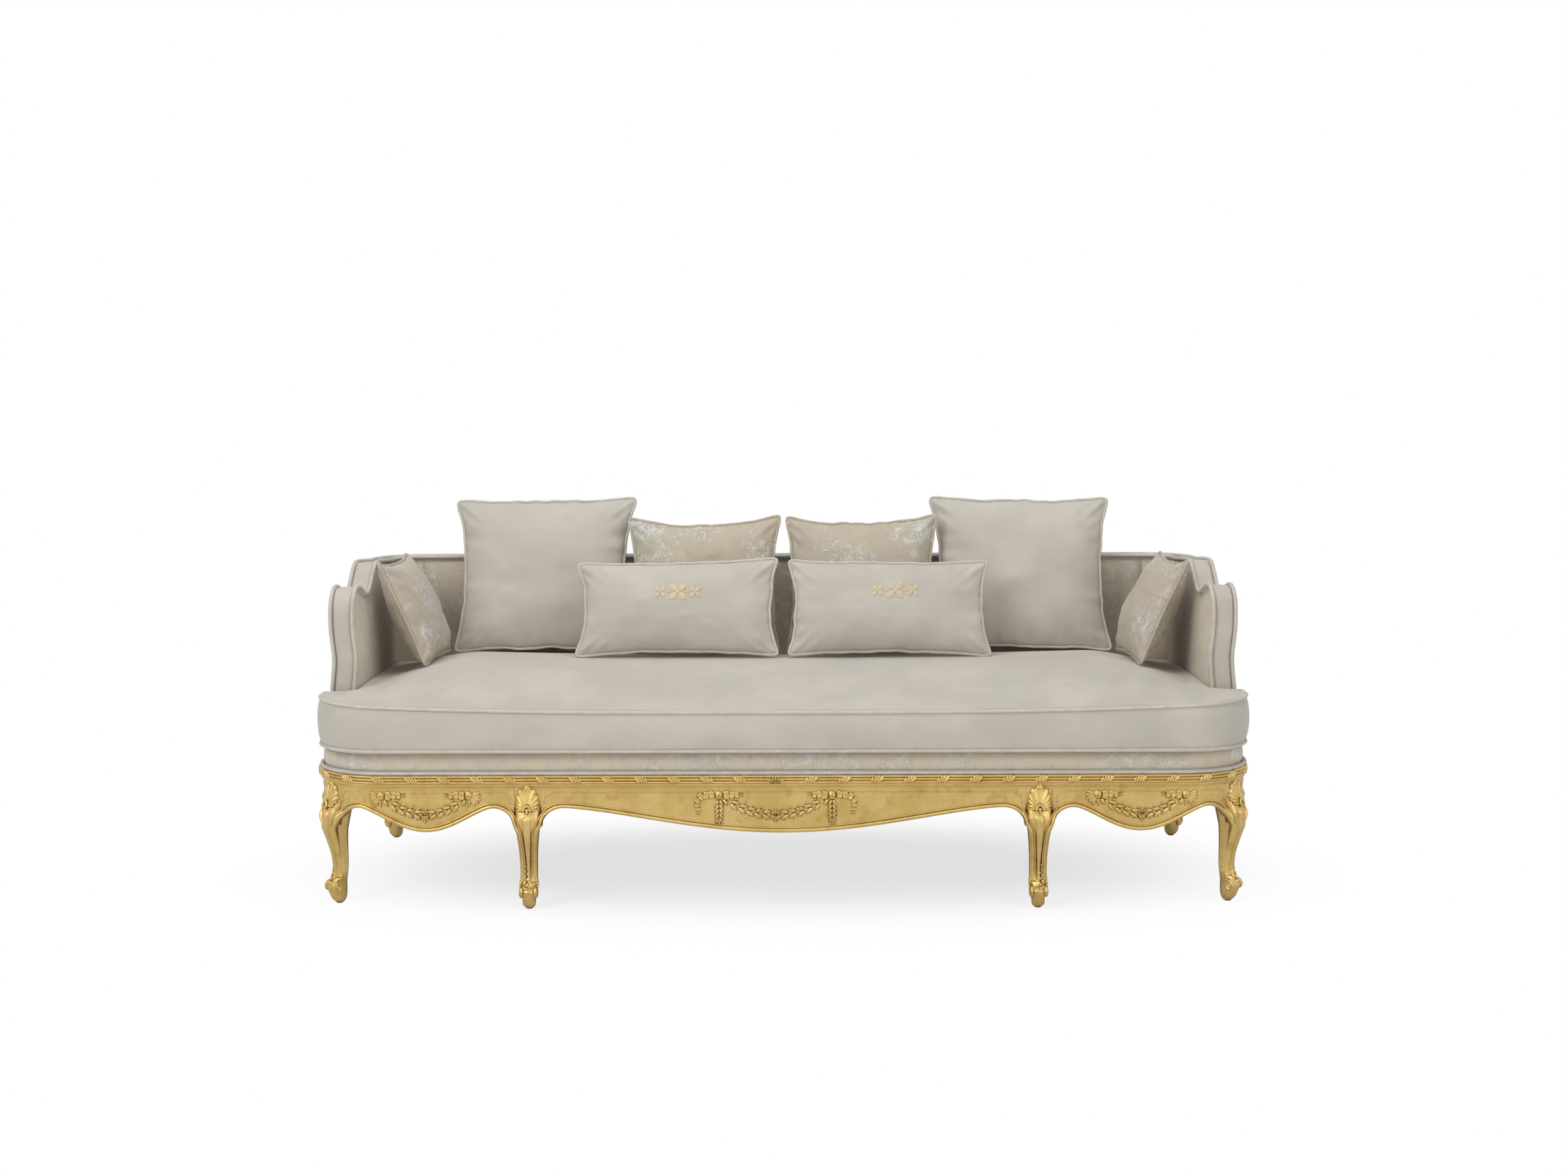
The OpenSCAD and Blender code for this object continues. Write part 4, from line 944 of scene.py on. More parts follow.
def leg_mesh(radius):
    """A carved cabriole leg about its place on a rail face of that radius, front towards -y."""
    form = Form()
    sides = 88
    rows = []
    for z, out, deep, wide, square in LEG:
        ring = []
        for i in range(sides):
            a = 2 * math.pi * i / sides
            c, s = math.cos(a), math.sin(a)
            x = wide * math.copysign(abs(c) ** (2 / square), c)
            y = deep * math.copysign(abs(s) ** (2 / square), s)
            push = 1 + leg_carving(x, z, wide, s < 0) / (math.hypot(x, y) or 1.0)
            ring.append((x * push, y * push - out, z))
        rows.append(ring)
    form.shut(rows)
    across = np.linspace(-HALF_POST, HALF_POST, 9)
    rows = []
    for z in np.linspace(ARCH_Z, RAIL_TOP, 6):
        edge = [(x, face_drop(x, radius), z) for x in across]
        side = [(HALF_POST, y, z) for y in np.linspace(edge[-1][1], POST_D, 5)[1:]]
        back = [(x, POST_D, z) for x in across[::-1][1:]]
        other = [(-HALF_POST, y, z) for y in np.linspace(POST_D, edge[0][1], 5)[1:-1]]
        rows.append(edge + side + back + other)
    form.shut(rows)
    place = lambda x, z, h: (x, leg_front(x, z) - h, z)
    shell_carving(form, place)
    sprig(form, place)
    for side in (-1, 1):
        volute(form, side)
    return form


# Node, turn in plan, radius of the rail face there, and the middle of its curve
LEG_SPOTS = (("front_leg", FRONT_TURN, FRONT_R, (FRONT_FLAT, FRONT_Y + FRONT_R)),
             ("inner_leg", 0.0, 0.0, (INNER_X, FRONT_Y)),
             ("rear_leg", REAR_TURN, REAR_R, (REAR_FLAT, FRONT_Y + REAR_Y)))


def make_legs():
    for node, turn, radius, middle in LEG_SPOTS:
        form = leg_mesh(radius)
        x, y, z = np.array(form.points).T
        c, s = math.cos(turn), math.sin(turn)
        across, along = middle[0] + radius * s, middle[1] - radius * c
        form.points = np.stack((across + x * c - y * s, along + x * s + y * c, z), axis=1)
        for name, mirror in (("right", False), ("left", True)):
            finished("carved_" + node + "_" + name, form.mesh(node, mirror), "gilt", ROOT, node + "_" + name)


def swag_leaves(form, centre, half, drop, top, rise, pairs):
    """Laurel leaves in pairs along a hanging curve, tips towards its middle, small ones between them."""
    for side in (-1, 1):
        for k in range(pairs):
            x = half * (0.93 - 0.83 * k / (pairs - 1))
            z = top - drop * (1 - (x / half) ** 2)
            lean = math.degrees(math.atan(2 * drop * x / half ** 2))
            size = 0.0255 if k else 0.021
            for way, lift, spread in ((1, 0.0, 19), (-1, 0.0008, 23)):
                high = rise * (1.05 if way > 0 else 0.9)
                grid = leaf(size, 0.0122, high, rib=0.40, lift=0.0022, blunt=0.85, point=0.42)
                root = turned(on_rail, centre + side * x, z + way * 0.0022, 90 + lean - way * spread, side)
                form.relief(grid, lifted(root, lift))
            for across, up, bend in ((0.006, -0.005, 66), (0.013, -0.004, 74), (0.008, 0.005, -52)):
                grid = leaf(0.0150, 0.0058, rise * 0.75, rows=7, cols=5, rib=0.2, point=0.4)
                root = turned(on_rail, centre + side * (x - across), z + up, 90 + lean + bend, side)
                form.relief(grid, root)


def berries(form, centre, z, rise):
    rows = ((0.0088, (-0.0026, 0.0026)), (0.0048, (-0.0050, 0.0, 0.0050)), (0.0006, (-0.0056, 0.0, 0.0056)),
            (-0.0036, (-0.0046, 0.0, 0.0046)), (-0.0078, (-0.0024, 0.0024)), (-0.0116, (0.0,)))
    for up, across in rows:
        for x in across:
            dome(form, 0.0030, rise * 1.35, turned(on_rail, centre + x, z + up, 0), sides=10, rings=5)


def ribbon(form, s0, z0, steps, mirror, rise):
    """Gathered ribbon: folds at (across, up, turn, size) from the knot, the last of them forked."""
    for k, (x, u, turn, size) in enumerate(steps[:-1]):
        slant = 10 if k % 2 else -8
        grid = puff(0.0158 * size, 0.0205 * size, rise * (1.1 - 0.20 * (k % 2)))
        form.relief(grid, turned(on_rail, s0 + mirror * x, z0 + u, turn + slant, mirror))
    x, u, turn, size = steps[-1]
    for a in (-20, 20):
        grid = leaf(0.0125 * size, 0.0062, rise * 0.75, rows=7, cols=5, rib=-0.1)
        form.relief(grid, turned(on_rail, s0 + mirror * x, z0 + u, turn + a, mirror))


# Folds of the ribbons inward and outward from a knot, as (across, up, turn, size)
INWARD = [(-0.018, 0.001, 0, 1.0), (-0.0315, 0.001, 0, 0.95), (-0.0440, 0.0005, 0, 0.8),
          (-0.0490, 0.0, 90, 1.1)]
OUTWARD = [(0.018, 0.001, 0, 1.0), (0.0315, 0.0, -8, 1.0), (0.0445, -0.003, -24, 0.95),
           (0.0535, -0.013, -62, 0.85), (0.0545, -0.024, -86, 0.72), (0.0515, -0.0335, -98, 0.62),
           (0.0500, -0.0375, -172, 1.1)]

# Height of the garlands' knots, then each garland: name, middle, half its width, drop and pairs of leaves
KNOT_Z = 0.284
GARLANDS = (("middle", MIDDLE_X, 0.139, 0.048, 7), ("right", BAY_X, 0.108, 0.046, 6),
            ("left", -BAY_X, 0.108, 0.046, 6))


def drooping_spray(form, knot, rise):
    """Leaves that hang from a knot of the middle garland."""
    for k, size in enumerate((1.0, 1.05, 1.0, 0.92, 0.8)):
        for a in (-1, 1):
            grid = leaf(0.0235 * size, 0.0094 * size, rise * 1.05, rib=0.40, lift=0.0022, point=0.4)
            form.relief(grid, turned(on_rail, knot + a * 0.0010, KNOT_Z - 0.010 - 0.0112 * k, 180 + a * 27))
    form.relief(leaf(0.015, 0.007, rise), turned(on_rail, knot, KNOT_Z - 0.060, 180))


def leaf_fan(form, knot, side, rise):
    """Fan of leaves that spreads from a knot of a bay's garland."""
    for k, a in enumerate((-70, -90, -110, -130, -150)):
        high = rise * (1.0 - 0.12 * (k % 2))
        grid = leaf(0.0320 - 0.0014 * abs(k - 2), 0.0118, high, rib=0.40, blunt=1.25, lift=0.001)
        form.relief(grid, turned(on_rail, knot + side * 0.002, KNOT_Z - 0.001, a, side))
    for a in (-28, 12):
        grid = leaf(0.0235, 0.0078, rise * 0.8, rib=0.1)
        form.relief(grid, turned(on_rail, knot + side * 0.003, KNOT_Z - 0.008, 180 - a, side))


def make_garlands():
    rise = sizes().relief
    for name, centre, half, drop, pairs in GARLANDS:
        form = Form()
        low = KNOT_Z - drop
        swag_leaves(form, centre, half, drop, KNOT_Z, rise, pairs)
        berries(form, centre, low, rise)
        form.relief(leaf(0.0130, 0.0070, rise, rib=0.2, point=0.3), turned(on_rail, centre, low - 0.011, 180))
        for side in (-1, 1):
            knot = centre + side * half
            dome(form, 0.0118, rise * 1.5, turned(on_rail, knot, KNOT_Z, 0), swirl=0.42)
            ribbon(form, knot, KNOT_Z, INWARD, side, rise)
            if name == "middle":
                ribbon(form, knot, KNOT_Z, OUTWARD, side, rise)
                drooping_spray(form, knot, rise)
            else:
                leaf_fan(form, knot, side, rise)
        finished("carved_garland_" + name, form.mesh("garland_" + name), "gilt", ROOT, "garland_" + name)


def make_bare_nodes():
    """Gives the frame's own solids that stay in view their finish."""
    kept = {"gilt": ("front_rail_middle", "front_rail_left", "front_rail_right", "side_rail_left",
                     "side_rail_right", "rear_rail", "front_moulding", "side_moulding_left",
                     "side_moulding_right", "rear_moulding"),
            "beech": ("corner_blocks", "seat_stretchers", "arm_posts", "arm_rails", "back_corner_posts",
                      "back_top_rail", "tack_rails", "back_uprights"),
            "jute": ("webbing_long", "webbing_cross"),
            "cambric": ("dust_cover",)}
    for finish, names in kept.items():
        for name in names:
            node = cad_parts[name]
            if not node.material_slots:
                node.data.materials.append(finish_of(finish))
            for spot in node.material_slots:
                spot.material = finish_of(finish)


# The upholstered shell

def eased(a, b, n):
    """Points from one place towards another, level at both ends."""
    return [(a[0] + (b[0] - a[0]) * k / n, a[1] + (b[1] - a[1]) * (1 - math.cos(math.pi * k / n)) / 2)
            for k in range(n)]


def crest_line():
    """Crest in side view, from the root of the round at the arm front to the rear corner."""
    line = [(ARM_Y + ARM_ROUND * (1 - math.cos(a)), ARM_TOP - ARM_ROUND * (1 - math.sin(a)))
            for a in np.linspace(0, math.pi / 2, 9)]
    stops = ((ARM_Y + 1.3 * ARM_ROUND, ARM_TOP), DIP_AT, WING_AT, (REAR_Y, BACK_TOP))
    for a, b, count in zip(stops[:-1], stops[1:], (12, 14, 8)):
        line += eased(a, b, count)
    return line + [stops[-1]]


CREST = crest_line()


def crest_at(y):
    return float(np.interp(y, [p[0] for p in CREST], [p[1] for p in CREST]))


# How far the cover of an arm stands back from the band along its front
FRONT_LAP = 0.008


def rear_run(corner, back):
    """Points on the rail face line and outward directions, round the rear corner and to the back's middle."""
    run = [((REAR_FLAT + REAR_R * math.cos(a), REAR_Y + REAR_R * math.sin(a)), (math.cos(a), math.sin(a)))
           for a in np.linspace(0, math.pi / 2, corner)[1:]]
    return run + [((x, DEPTH), (0.0, 1.0)) for x in np.linspace(REAR_FLAT, 0, back)[1:]]


def shell_stations():
    """Stations round the shell from the right arm's front to the left's: point, way out and depth."""
    half = [((HALF_W, y), (1.0, 0.0), y) for y in np.linspace(ARM_Y + FRONT_LAP, REAR_Y, 44)]
    half += [(spot, way, None) for spot, way in rear_run(17, 30)]
    return half + [((-p[0], p[1]), (-n[0], n[1]), y) for p, n, y in half[-2::-1]]


def arm_wave(y, z):
    """How far the padding pushes the front end of an arm out, or draws it in, by height."""
    swell = np.interp(z, (0.40, 0.50, 0.52, 0.56, 0.602, 0.65, 0.692, 0.735, 0.775),
                      (0, 0.6, 0.75, -0.5, -1.1, 0.3, 1.0, 0.6, -0.2))
    return 0.0042 * float(swell) * math.exp(-((y - ARM_Y) / 0.11) ** 2)


def at_depth(station, depth, z):
    (x, y), (nx, ny), _ = station
    if nx:
        depth = depth - arm_wave(y, z)
    return x - nx * depth, y - ny * depth + FRONT_Y, z


def pad_swell(z, top):
    """How far an inside pad stands past the inner edge of the band, by height."""
    return float(np.interp(z, (DECK_TOP, 0.45, 0.60, top - 0.045, top - 0.012, top),
                           (0.0085, 0.0088, 0.0086, 0.0050, 0.0010, -0.0030)))


def shell_piece(name, stations, finish, inside, *nodes):
    """One cover of the shell between two of its stations, inside or outside."""
    front, back = [], []
    rows = 26 if inside else 14
    low = DECK_TOP - 0.004 if inside else RAIL_TOP
    rear = PAD_BACK if inside else LINING
    for station in stations:
        y = station[2]
        top = (BACK_TOP if y is None else crest_at(y - FRONT_LAP)) - 0.004
        a, b = [], []
        for k in range(rows):
            t = k / (rows - 1)
            z = low + (top - low) * t
            hollow = SHELL_OUT - 0.0016 * math.sin(math.pi * t) ** 0.5
            a.append(at_depth(station, SHELL_IN + pad_swell(z, top) if inside else hollow, z))
            b.append(at_depth(station, rear, z))
        front.append(a)
        back.append(b)
    form = Form()
    form.slab(front, back, flip=not inside)
    return finished(name, form.mesh(name), finish, ROOT, *nodes)


def band_route():
    """Stations of the band from the foot of the right arm's front over the crest to the left's: point on the
    rail face line, outward plan direction, height, and the direction that the band faces."""
    route = [((HALF_W, ARM_Y), (1.0, 0.0), z, (0.0, -1.0, 0.0))
             for z in np.linspace(DECK_TOP, ARM_TOP - ARM_ROUND, 14)[:-1]]
    for i, (y, z) in enumerate(CREST):
        a, b = CREST[max(0, i - 1)], CREST[min(len(CREST) - 1, i + 1)]
        dy, dz = b[0] - a[0], b[1] - a[1]
        size = math.hypot(dy, dz)
        route.append(((HALF_W, y), (1.0, 0.0), z, (0.0, -dz / size, dy / size)))
    route += [(spot, way, BACK_TOP, (0.0, 0.0, 1.0)) for spot, way in rear_run(15, 24)]
    return route + [((-p[0], p[1]), (-n[0], n[1]), z, (-u[0], u[1], u[2])) for p, n, z, u in route[-2::-1]]


def band_point(st, depth, rise):
    (x, y), (nx, ny), z, (ux, uy, uz) = st
    if nx:
        depth = depth - arm_wave(y, z)
    return x - nx * depth + ux * rise, y - ny * depth + FRONT_Y + uy * rise, z + uz * rise


def make_shell():
    stations = shell_stations()
    n = len(stations)
    spans = (("arm_right", 0, 44), ("corner_right", 43, 60), ("back", 59, n - 59),
             ("corner_left", n - 60, n - 43), ("arm_left", n - 44, n))
    stands_for = {"corner_right": ("_corners",), "corner_left": ()}
    for part, start, stop in spans:
        # The inside covers take the toile painted lighter, for the shade they lie in
        for side, finish in (("inside", "shade_lifted_toile"), ("outside", "velvet")):
            nodes = [side + node for node in stands_for.get(part, ("_" + part,))]
            name = side + "_cover_" + part
            piece = shell_piece(name, stations[start:stop], finish, side == "inside", *nodes)
    route = band_route()
    top, under = [], []
    for st in route:
        across = [(d, 2 * k / 10 - 1) for k, d in enumerate(np.linspace(SHELL_OUT, SHELL_IN, 11))]
        top.append([band_point(st, d, 0.0016 * (1 - v * v) - 0.0012 * v ** 8) for d, v in across])
        under.append([band_point(st, d, -0.0075) for d, _ in across])
    form = Form()
    form.slab(top, under)
    finished("crest_band", form.mesh("crest_band"), "velvet", ROOT, "band_back", "band_corners", "band_arms")
    for name, depth, node in (("outer_piping", SHELL_OUT - WELT_STAND, "outer_welt"),
                              ("inner_piping", SHELL_IN + WELT_STAND, "inner_welt")):
        form = Form()
        tube(form, smooth_line([band_point(st, depth, WELT_STAND) for st in route], 0.008), WELT_R, 12)
        finished(name, form.mesh(name), "cord", ROOT, node)


# Deck and seat cushion

def arc(cx, cy, r, start, stop, n):
    """Points on a circle, from one angle to another in degrees, where 0 is to the front."""
    return [(cx + r * math.sin(a), cy - r * math.cos(a))
            for a in np.linspace(math.radians(start), math.radians(stop), n)]


def tee(w, front, r, step, inner, rear, rr, ear, gap=0.0004):
    """Half a T-shaped outline from the middle front to the middle rear: half width, front edge and front
    radius, the step's depth, half width and rear edge behind it, rear radius, and the ear's round."""
    half = [(v * (w - r), front) for v in np.linspace(0, 1, 61)[:-1]]
    half += arc(w - r, front + r, r, 0, 90, 25)
    half += [(w, y) for y in np.linspace(front + r, step - ear, 5)[1:]]
    half += arc(w - ear, step - ear, ear, 90, 180, 6)[1:]
    half += [(w - ear - (w - ear - inner - gap) * v, step) for v in np.linspace(0, 1, 7)[1:]]
    half += [(inner, step + gap + (rear - rr - step - gap) * v) for v in np.linspace(0, 1, 31)]
    half += arc(inner - rr, rear - rr, rr, 90, 180, 9)[1:]
    half += [((inner - rr) * v, rear) for v in np.linspace(1, 0, 47)[1:]]
    return half


def whole(half):
    return half + [(-x, y) for x, y in half[-2:0:-1]]


# Border of the deck: share of its height, and how far it bulges there
DECK_BORDER = ((0.0, -0.4), (0.06, 0.2), (0.14, 0.65), (0.26, 0.95), (0.42, 1.1), (0.6, 1.0), (0.76, 0.7),
               (0.88, 0.1), (0.96, -0.7), (1.0, -1.4))
DECK_SEAM_X = -0.012


def make_deck():
    rows = []
    for share, grow in DECK_BORDER:
        g = grow * DECK_BULGE - DECK_INSET
        half = tee(HALF_W + g, -g, FRONT_R + g, ARM_Y - 0.0004, HALF_W - PAD_BACK, DEPTH - PAD_BACK,
                   REAR_R - PAD_BACK, DECK_INSET)
        ring = []
        for x, y in whole(half):
            soft = 0.0010 * ripple(x * 7, y * 7, share * 1.5)
            seam = -0.0018 * math.exp(-((x - DECK_SEAM_X) / 0.004) ** 2) if y < 0.05 else 0.0
            ring.append((x, y - soft - seam + FRONT_Y, RAIL_TOP + share * (DECK_TOP - RAIL_TOP)))
        rows.append(ring)
    form = Form()
    form.shut(rows)
    # The deck takes the toile painted lighter, for the shade under the seat cushion
    piece = finished("deck_cover", form.mesh("deck_cover"), "shade_lifted_toile", ROOT, "seat_deck")
    form = Form()
    tube(form, [on_rail(s, RAIL_TOP + WELT_R, DECK_BULGE - DECK_INSET + WELT_R)
                for s in np.linspace(-CORNER_END, CORNER_END, 420)], WELT_R, 12)
    finished("deck_piping", form.mesh("deck_piping"), "cord", ROOT, "deck_welt")


def seat_sag(x):
    return SEAT_SAG * (abs(x) / SEAT_HALF_W) ** 3


def seat_crown(x, y):
    """Height of the cushion's crown, which is highest a little in front of the pillows."""
    v = min(1.0, max(0.0, (y + SEAT_NOSE) / (DEPTH - SEAT_SIDE + SEAT_NOSE)))
    fall = math.sin(math.pi / 2 * v / 0.53) ** 0.8 if v < 0.53 else 1 - ((v - 0.53) / 0.47) ** 4
    end = max(0.0, abs(x) - SEAT_SPINE) / (SEAT_HALF_W - SEAT_SPINE)
    return SEAT_CROWN * fall * math.cos(math.pi / 2 * end) ** 2


def seat_outline(grow):
    """Outline of the cushion, its sides let out by a share of its bulge."""
    g = (grow - 1) * SEAT_BULGE
    return whole(tee(SEAT_HALF_W + g, -SEAT_NOSE - g, SEAT_R + grow * SEAT_BULGE, ARM_Y - SEAT_GAP + g,
                     HALF_W - SEAT_SIDE + g, DEPTH - SEAT_SIDE + g, REAR_R - SHELL_IN, EAR_ROUND))


def seat_wrinkles(x, y):
    """Soft creases of the seat's top: long ones along it, and slanting ones near its front edge."""
    long_folds = ripple(x * 2.2, y * 5.0, 3.1)
    slant = ripple((x - 0.30 * y) * 13.0, (y + 0.2 * x) * 2.6, 7.7)
    fine = ripple((x - 0.38 * y) * 27.0, y * 5.0, 1.3)
    near_front = math.exp(-((y - 0.12) / 0.22) ** 2)
    crease = -math.exp(-(slant / 0.13) ** 2)
    return 0.0022 * long_folds + (0.0135 * slant + 0.0022 * crease + 0.0055 * fine) * near_front


def ear_reach(x):
    """How much further out the ears of the cushion swell."""
    return 1 + 0.0040 * float(smoothstep(0.80, 1.16, abs(x)))


def seat_line(share, grow):
    """Line round the cushion's border at a share of its height."""
    return [(x * ear_reach(x), y + FRONT_Y, SEAT_Z + share * SEAT_TALL + seat_sag(x) * share)
            for x, y in seat_outline(grow)]


# Border of the seat cushion from its foot: how far it bulges, and the share of its height
SEAT_SIDES = ((-2.6, 0.0), (-1.4, 0.018), (-1.0, 0.045), (-1.1, 0.10), (-0.35, 0.17), (0.35, 0.28),
              (0.8, 0.42), (0.95, 0.54), (0.75, 0.68), (0.25, 0.80), (-0.45, 0.88), (-1.15, 0.925),
              (-1.0, 0.965))
SEAT_RINGS = 50


def make_seat():
    rows = []
    for grow, share in SEAT_SIDES:
        ring = []
        for x, y in seat_outline(grow):
            soft = 0.0016 * ripple(x * 6, y * 6, share * 2.0 + 5.0) * math.sin(math.pi * share)
            z = SEAT_Z + share * SEAT_TALL + seat_sag(x) * share
            ring.append((x * (1 + soft / 2) * ear_reach(x), y - soft + FRONT_Y, z))
        rows.append(ring)
    shrinks = [(0.004 + 0.990 * (k / (SEAT_RINGS - 1)) ** 1.35, 0.0) for k in range(SEAT_RINGS)]
    # The rings meet in a line as thin as a hair, and close inside the cushion
    shrinks += [(0.9975, 0.0), (0.9985, 0.0), (0.9985, 0.045)]
    top = seat_outline(-1.0)
    for t, sunk in shrinks:
        ring = []
        for x, y in top:
            hub = max(-SEAT_SPINE, min(SEAT_SPINE, x))
            px, py = x + t * (hub - x), y + t * (SEAT_HUB_Y - y)
            z = SEAT_Z + SEAT_BORDER + SEAT_LIP * math.exp(-t / 0.07) + seat_sag(px) + seat_crown(px, py)
            z += min(1.0, t / 0.05) * (seat_wrinkles(px, py) - 0.0015)
            ring.append((px * ear_reach(px), py + FRONT_Y, z - sunk))
        rows.append(ring)
    form = Form()
    form.shut(rows)
    mesh = form.mesh("seat_cushion_cover")
    piece = finished("seat_cushion_cover", mesh, "velvet", "seat_cushion", "seat_cushion")
    form = Form()
    for share, grow, radius, sides in ((0.055, -0.9, SEAT_PIPING, 10), (0.965, -0.9, SEAT_PIPING, 10),
                                       (0.128, -0.85, 0.0009, 6)):
        tube(form, seat_line(share, grow), radius, sides, closed=True)
    finished("seat_piping", form.mesh("seat_piping"), "cord", "seat_cushion")


# Pillows

# Width, height, thickness, fabric, and lean and turn in degrees
PILLOW_KINDS = {
    "large": (0.508, 0.448, 0.142, "velvet", 16, 0),
    "medium": (0.428, 0.398, 0.126, "toile", 16, 0),
    "lumbar": (0.556, 0.276, 0.112, "velvet", 16, 0),
    "small": (0.360, 0.312, 0.124, "toile", 24, 88)}

SQUARE = ((0.0, 0.0), (0.0, 0.0), (0.0, 0.0), (0.0, 0.0))

# Kind, side and seed, then how far the middle of the bottom, right, top and left edges draw in, and how far
# the corners stand out from the bottom left round to the top left
PILLOWS = (
    ("large", "left", 11, (0.016, 0.034, 0.014, 0.028),
     ((-0.003, -0.002), (0.003, -0.002), (0.007, 0.002), (-0.006, -0.008))),
    ("large", "right", 17, (0.016, 0.030, 0.016, 0.030),
     ((-0.003, -0.002), (0.003, -0.002), (0.005, -0.004), (-0.006, 0.002))),
    ("medium", "left", 23, (0.016, 0.022, 0.032, 0.022),
     ((0.0, 0.0), (0.0, 0.0), (0.005, 0.003), (-0.006, -0.004))),
    ("medium", "right", 29, (0.016, 0.022, 0.028, 0.022),
     ((0.0, 0.0), (0.0, 0.0), (0.005, 0.003), (-0.003, -0.002))),
    ("lumbar", "left", 37, (0.014, 0.026, 0.012, 0.028),
     ((-0.006, -0.003), (0.003, 0.0), (0.003, 0.003), (-0.002, -0.012))),
    ("lumbar", "right", 43, (0.013, 0.026, 0.013, 0.026),
     ((-0.003, 0.0), (0.005, -0.003), (0.001, -0.008), (-0.002, -0.003))),
    ("small", "left", 51, (0.012, 0.018, 0.024, 0.016), SQUARE),
    ("small", "right", 57, (0.012, 0.018, 0.022, 0.016), SQUARE))

# Radius of a pillow's corners, width of the squares that its sheets are made of, how far its cover may stand
# outside its solid, and where the stitched rows lie from the middle of the face
CORNER_R = 0.024
SHEET_STEP = 0.0082
COVER_SLACK = 0.003
MOTIF_AT = {"lumbar_pillow_left": (0.003, 0.034), "lumbar_pillow_right": (0.015, 0.036)}


def pillow_sheets(width, height, step):
    """Two flat sheets sewn at the rim: places as (across, up) shares, which sheet, faces, and the rim."""
    nx, nz = round(width / step), round(height / step)
    shares, front_of, faces, front, back = [], [], [], {}, {}
    for j in range(nz + 1):
        for i in range(nx + 1):
            share = (2 * i / nx - 1, 2 * j / nz - 1)
            rim = i in (0, nx) or j in (0, nz)
            front[i, j] = len(shares)
            shares.append(share)
            front_of.append(0.0 if rim else -1.0)
            if rim:
                back[i, j] = front[i, j]
            else:
                back[i, j] = len(shares)
                shares.append(share)
                front_of.append(1.0)
    for j in range(nz):
        for i in range(nx):
            faces.append((front[i, j], front[i + 1, j], front[i + 1, j + 1], front[i, j + 1]))
            faces.append((back[i, j + 1], back[i + 1, j + 1], back[i + 1, j], back[i, j]))
    rim = ([front[i, 0] for i in range(nx)] + [front[nx, j] for j in range(nz)]
           + [front[i, nz] for i in range(nx, 0, -1)] + [front[0, j] for j in range(nz, 0, -1)])
    return np.array(shares), np.array(front_of), faces, rim


def seam_shape(shares, width, height, draws, corners, seed):
    """Where the sheets' places lie once the edges have drawn in and the corners stand out."""
    u, v = shares[:, 0], shares[:, 1]
    bottom, right, top, left = draws
    give = 1 - np.abs(v) ** 2.9
    along = 1 - np.abs(u) ** 2.9
    x = width / 2 * u - np.where(u > 0, right, -left) * np.abs(u) ** 1.5 * give
    z = height / 2 * v - np.where(v > 0, top, -bottom) * np.abs(v) ** 1.5 * along
    inside_x = CORNER_R - (1 - np.abs(u)) * width / 2
    inside_z = CORNER_R - (1 - np.abs(v)) * height / 2
    far = np.maximum(np.hypot(inside_x, inside_z), 1e-9)
    round_off = np.where((inside_x > 0) & (inside_z > 0), 1 - np.maximum(inside_x, inside_z) / far, 0.0)
    x = x - np.sign(u) * inside_x * round_off
    z = z - np.sign(v) * inside_z * round_off
    for (dx, dz), (cu, cv) in zip(corners, ((-1, -1), (1, -1), (1, 1), (-1, 1))):
        weight = np.clip((1 + cu * u) * (1 + cv * v) / 4, 0, 1) ** 2.5
        x = x + dx * weight
        z = z + dz * weight
    wave = np.array([ripple(a * 7, b * 7, seed * 1.7) + 0.9 * ripple(a * 2.7, b * 2.7, seed * 0.9)
                     for a, b in shares])
    edge = np.maximum(np.abs(u), np.abs(v)) ** 8 * np.maximum(give, along)
    return x * (1 - 0.020 * wave * edge), z * (1 - 0.030 * wave * edge)


CLOTH = {"quality": 6, "mass": 0.25, "tension_stiffness": 30, "compression_stiffness": 8,
         "shear_stiffness": 5, "bending_stiffness": 0.35, "air_damping": 2.5, "vertex_group_mass": "seam",
         "pin_stiffness": 1.0, "use_pressure": True}
FRAMES = 24


def inflate(start, flat, faces, rim):
    """Fills the sewn sheets with air as cloth, seam held, and returns the points where they come to rest."""
    mesh = bpy.data.meshes.new("sheets")
    mesh.from_pydata(start.tolist(), [], faces)
    sheets = bpy.data.objects.new("sheets", mesh)
    scene = bpy.context.scene
    scene.collection.objects.link(sheets)
    sheets.shape_key_add(name="sewn", from_mix=False)
    cut = sheets.shape_key_add(name="cut", from_mix=False)
    cut.data.foreach_set("co", flat.ravel())
    sheets.vertex_groups.new(name="seam").add([int(k) for k in rim], 1.0, "REPLACE")
    cloth = sheets.modifiers.new("cloth", "CLOTH")
    for key, value in CLOTH.items():
        setattr(cloth.settings, key, value)
    cloth.settings.rest_shape_key = cut
    cloth.settings.uniform_pressure_force = sizes().fill
    cloth.settings.effector_weights.gravity = 0
    cloth.collision_settings.use_collision = False
    cloth.point_cache.frame_start = 1
    cloth.point_cache.frame_end = FRAMES
    for number in range(1, FRAMES + 1):
        scene.frame_set(number)
    done = sheets.evaluated_get(bpy.context.evaluated_depsgraph_get())
    rest = np.empty(len(start) * 3)
    done.data.vertices.foreach_get("co", rest)
    scene.frame_set(1)
    bpy.data.objects.remove(sheets)
    bpy.data.meshes.remove(mesh)
    return rest.reshape(-1, 3)


